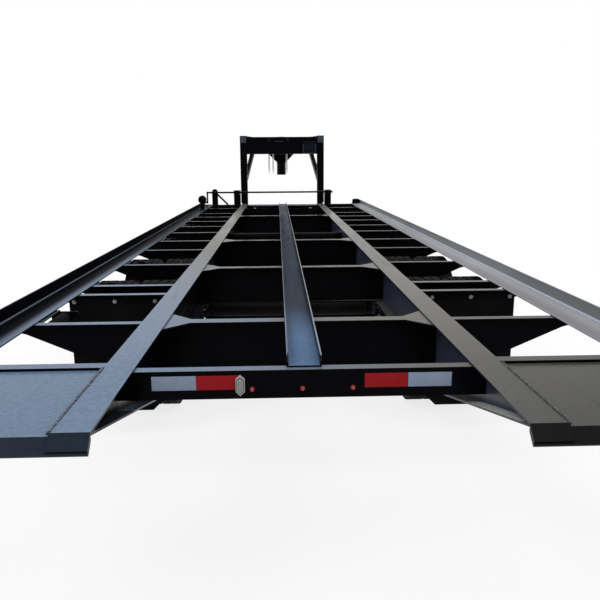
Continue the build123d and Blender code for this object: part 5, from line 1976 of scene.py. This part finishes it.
@dataclass
class LiftTrim:
    """Gland nuts and ports of the lift cylinders' barrels."""

    finishes: Finishes
    cylinder_x: float = 0.470
    base: Span = (2.472, 0.590)
    eye: Span = (3.392, 0.740)
    barrel_length: float = 0.735
    barrel_radius: float = 0.050
    rod_radius: float = 0.0255
    port_insets: Span = (0.110, 0.060)

    def build(self) -> None:
        """Builds and dresses the pieces."""
        (base_y, base_z), (eye_y, eye_z) = self.base, self.eye
        along = Vector((0.0, eye_y - base_y, eye_z - base_z)).normalized()
        glands, ports = Form(), Form()
        r, bore = self.barrel_radius, self.rod_radius + 0.001
        nut = [
            (-0.024, r - 0.001), (-0.024, r + 0.003), (-0.022, r + 0.005), (-0.002, r + 0.005),
            (0.000, r + 0.003), (0.000, bore), (-0.004, bore), (-0.004, r - 0.001),
        ]
        boss = [(0.0, 0.0), (0.0, 0.013), (0.014, 0.013), (0.014, 0.0)]
        plug = [(0.014, 0.0), (0.014, 0.0105), (0.026, 0.0105), (0.028, 0.008), (0.028, 0.0)]
        low_inset, high_inset = self.port_insets
        for side in Side:
            foot = Vector((side.value * self.cylinder_x, base_y, base_z))
            glands.turned(nut, foot + along * self.barrel_length, along, 8)
            for place in (low_inset, self.barrel_length - high_inset):
                start = foot + along * place - side.out * (r - 0.004)
                ports.turned(boss, start, -side.out, 20).turned(plug, start, -side.out, 6)
        under, zinc = self.finishes.under, self.finishes.bolt
        glands.piece("barrel_glands", under, "lift_barrels", Slot.UNDERCARRIAGE, smooth_angle=20.0)
        ports.piece("barrel_ports", zinc, "lift_barrels", Slot.ZINC)


# Stage


@dataclass(frozen=True)
class Eye:
    """The camera: where it stands and how it looks."""

    place: tuple[float, float, float] = (-0.0834, -7.3112, 1.50345)
    pitch_down: float = 12.4017
    turn_right: float = 1.9159
    roll: float = -0.3601
    lens: float = 37.558
    sensor: float = 36.0
    shift: float = 0.0009
    far_clip: float = 400.0

    def stand(self) -> None:
        """Puts the camera up."""
        yaw, pitch, roll = (math.radians(a) for a in (self.turn_right, self.pitch_down, self.roll))
        forward = Vector((math.sin(yaw) * math.cos(pitch), math.cos(yaw) * math.cos(pitch), -math.sin(pitch)))
        right = Vector((math.cos(yaw), -math.sin(yaw), 0.0))
        up = right.cross(forward)
        level = right * math.cos(roll) + up * math.sin(roll)
        raised = up * math.cos(roll) - right * math.sin(roll)
        data = bpy.data.cameras.new("camera")
        data.lens = self.lens
        data.sensor_width = self.sensor
        data.shift_x = self.shift
        data.clip_end = self.far_clip
        eye = bpy.data.objects.new("camera", data)
        turn = Matrix((level, raised, -forward)).transposed().to_4x4()
        eye.matrix_world = Matrix.Translation(self.place) @ turn
        bpy.context.scene.collection.objects.link(eye)
        bpy.context.scene.camera = eye


@dataclass(frozen=True)
class Sun:
    """A broad, soft sun."""

    name: str
    strength: float
    angle: float
    towards: Point
    colour: Colour

    def shine(self) -> None:
        """Puts the sun up, shining along its direction."""
        data = bpy.data.lights.new(self.name, "SUN")
        data.energy = self.strength
        data.angle = math.radians(self.angle)
        data.color = self.colour
        lamp = bpy.data.objects.new(self.name, data)
        lamp.rotation_mode = "QUATERNION"
        lamp.rotation_quaternion = Vector(self.towards).to_track_quat("-Z", "Y")
        bpy.context.scene.collection.objects.link(lamp)


@dataclass
class Stage:
    """The plain studio: camera, lights, sky and floor."""

    ambient: float = 0.65
    floor_albedo: float = 0.5
    seen_albedo: float = 0.25
    seen_glow: float = 0.78
    reach: float = 90.0
    suns: tuple[Sun, ...] = (
        Sun("sun_left", 0.8, 25.0, (0.55, 0.40, -0.73), (0.92, 0.96, 1.0)),
        Sun("sun_right", 0.4, 40.0, (-0.55, 0.30, -0.75), (1.0, 0.96, 0.90)),
    )

    def set(self) -> None:
        """Sets the stage."""
        bpy.context.scene.view_settings.view_transform = "Standard"
        Eye().stand()
        for sun in self.suns:
            sun.shine()
        self._sky()
        self._floor()

    def _sky(self) -> None:
        """Makes the world white where it is seen and softer where it lights."""
        world = bpy.data.worlds.new("studio")
        bpy.context.scene.world = world
        world.use_nodes = True
        sky = Nodes(world.node_tree)
        inputs = {"Value": sky.backdrop_rays(), "To Min": self.ambient, "To Max": 1.0}
        level = sky.node("ShaderNodeMapRange", inputs=inputs)
        glow = sky.node("ShaderNodeBackground", inputs={"Color": (*WHITE, 1.0), "Strength": level})
        sky.node("ShaderNodeOutputWorld", inputs={"Surface": glow})

    def _floor(self) -> None:
        """Lays a white floor that keeps a light shadow."""
        mesh = bpy.data.meshes.new("floor")
        r = self.reach
        mesh.from_pydata([(-r, -r, 0), (r, -r, 0), (r, r, 0), (-r, r, 0)], [], [(0, 1, 2, 3)])
        floor = linked("floor", mesh)
        shader = Shader("studio_floor")
        matt, pale = (
            shader.node("ShaderNodeBsdfDiffuse", inputs={"Color": (albedo, albedo, albedo, 1.0)})
            for albedo in (self.floor_albedo, self.seen_albedo)
        )
        glow = shader.node("ShaderNodeEmission", inputs={"Color": (*WHITE, 1.0), "Strength": self.seen_glow})
        lit = shader.node("ShaderNodeAddShader", inputs={0: pale, 1: glow})
        mixed = shader.node("ShaderNodeMixShader", inputs={0: shader.backdrop_rays(), 1: matt, 2: lit})
        shader.node("ShaderNodeOutputMaterial", inputs={"Surface": mixed})
        floor.data.materials.append(shader.material)


# The whole


def node_finishes(finishes: Finishes) -> dict[str, Finish]:
    """Lists the material of each kind of node.

    Args:
        finishes: The finished materials.

    Returns:
        Materials by the start of a node's name, of which the first that fits counts.
    """
    # Parts down under the deck take the copy of the paint with painted shade.
    shaded = ("spring_hangers", "cylinder_beam", "strap_winches", "neck_brace", "neck_lower")
    return {
        "tyres_": finishes.tyre,
        "wheels_": finishes.wheel,
        "mud_flap": finishes.flap,
        "tail_lamps": finishes.lens,
        "safety_chains": finishes.zinc,
        "equipment_box": finishes.box,
        "lift_rods": finishes.chrome,
        "centre_channel": finishes.channel_paint,
        "outriggers": finishes.outrigger_paint,
        **dict.fromkeys(shaded, finishes.low_paint),
        **dict.fromkeys(("leaf_springs", "equaliser", "axle_"), finishes.under),
        "": finishes.paint,
    }


def main() -> None:
    """Builds the dressed trailer on its frame."""
    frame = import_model()
    finishes = Finishes()
    kinds = node_finishes(finishes)
    for name, node in frame["nodes"].items():
        start = next(kind for kind in kinds if name.startswith(kind))
        node.data.materials.clear()
        node.data.materials.append(kinds[start])
    rim_mesh = DualRim().mesh()
    for side in Side:
        for axle in Axle:
            WheelSet(axle, side, finishes, rim_mesh).build()
        Springs(side, finishes).build()
    SideRail(Side.LEFT, finishes.left_rail).build()
    SideRail(Side.RIGHT, finishes.right_rail).build()
    for part in (Tail, DeckTrim, Winches, LandingGear, SafetyChains, NeckTrim, LiftTrim):
        part(finishes).build()
    Stage().set()


if __name__ == "__main__":
    logging.basicConfig(level=logging.INFO, format="%(name)s: %(message)s")
    main()
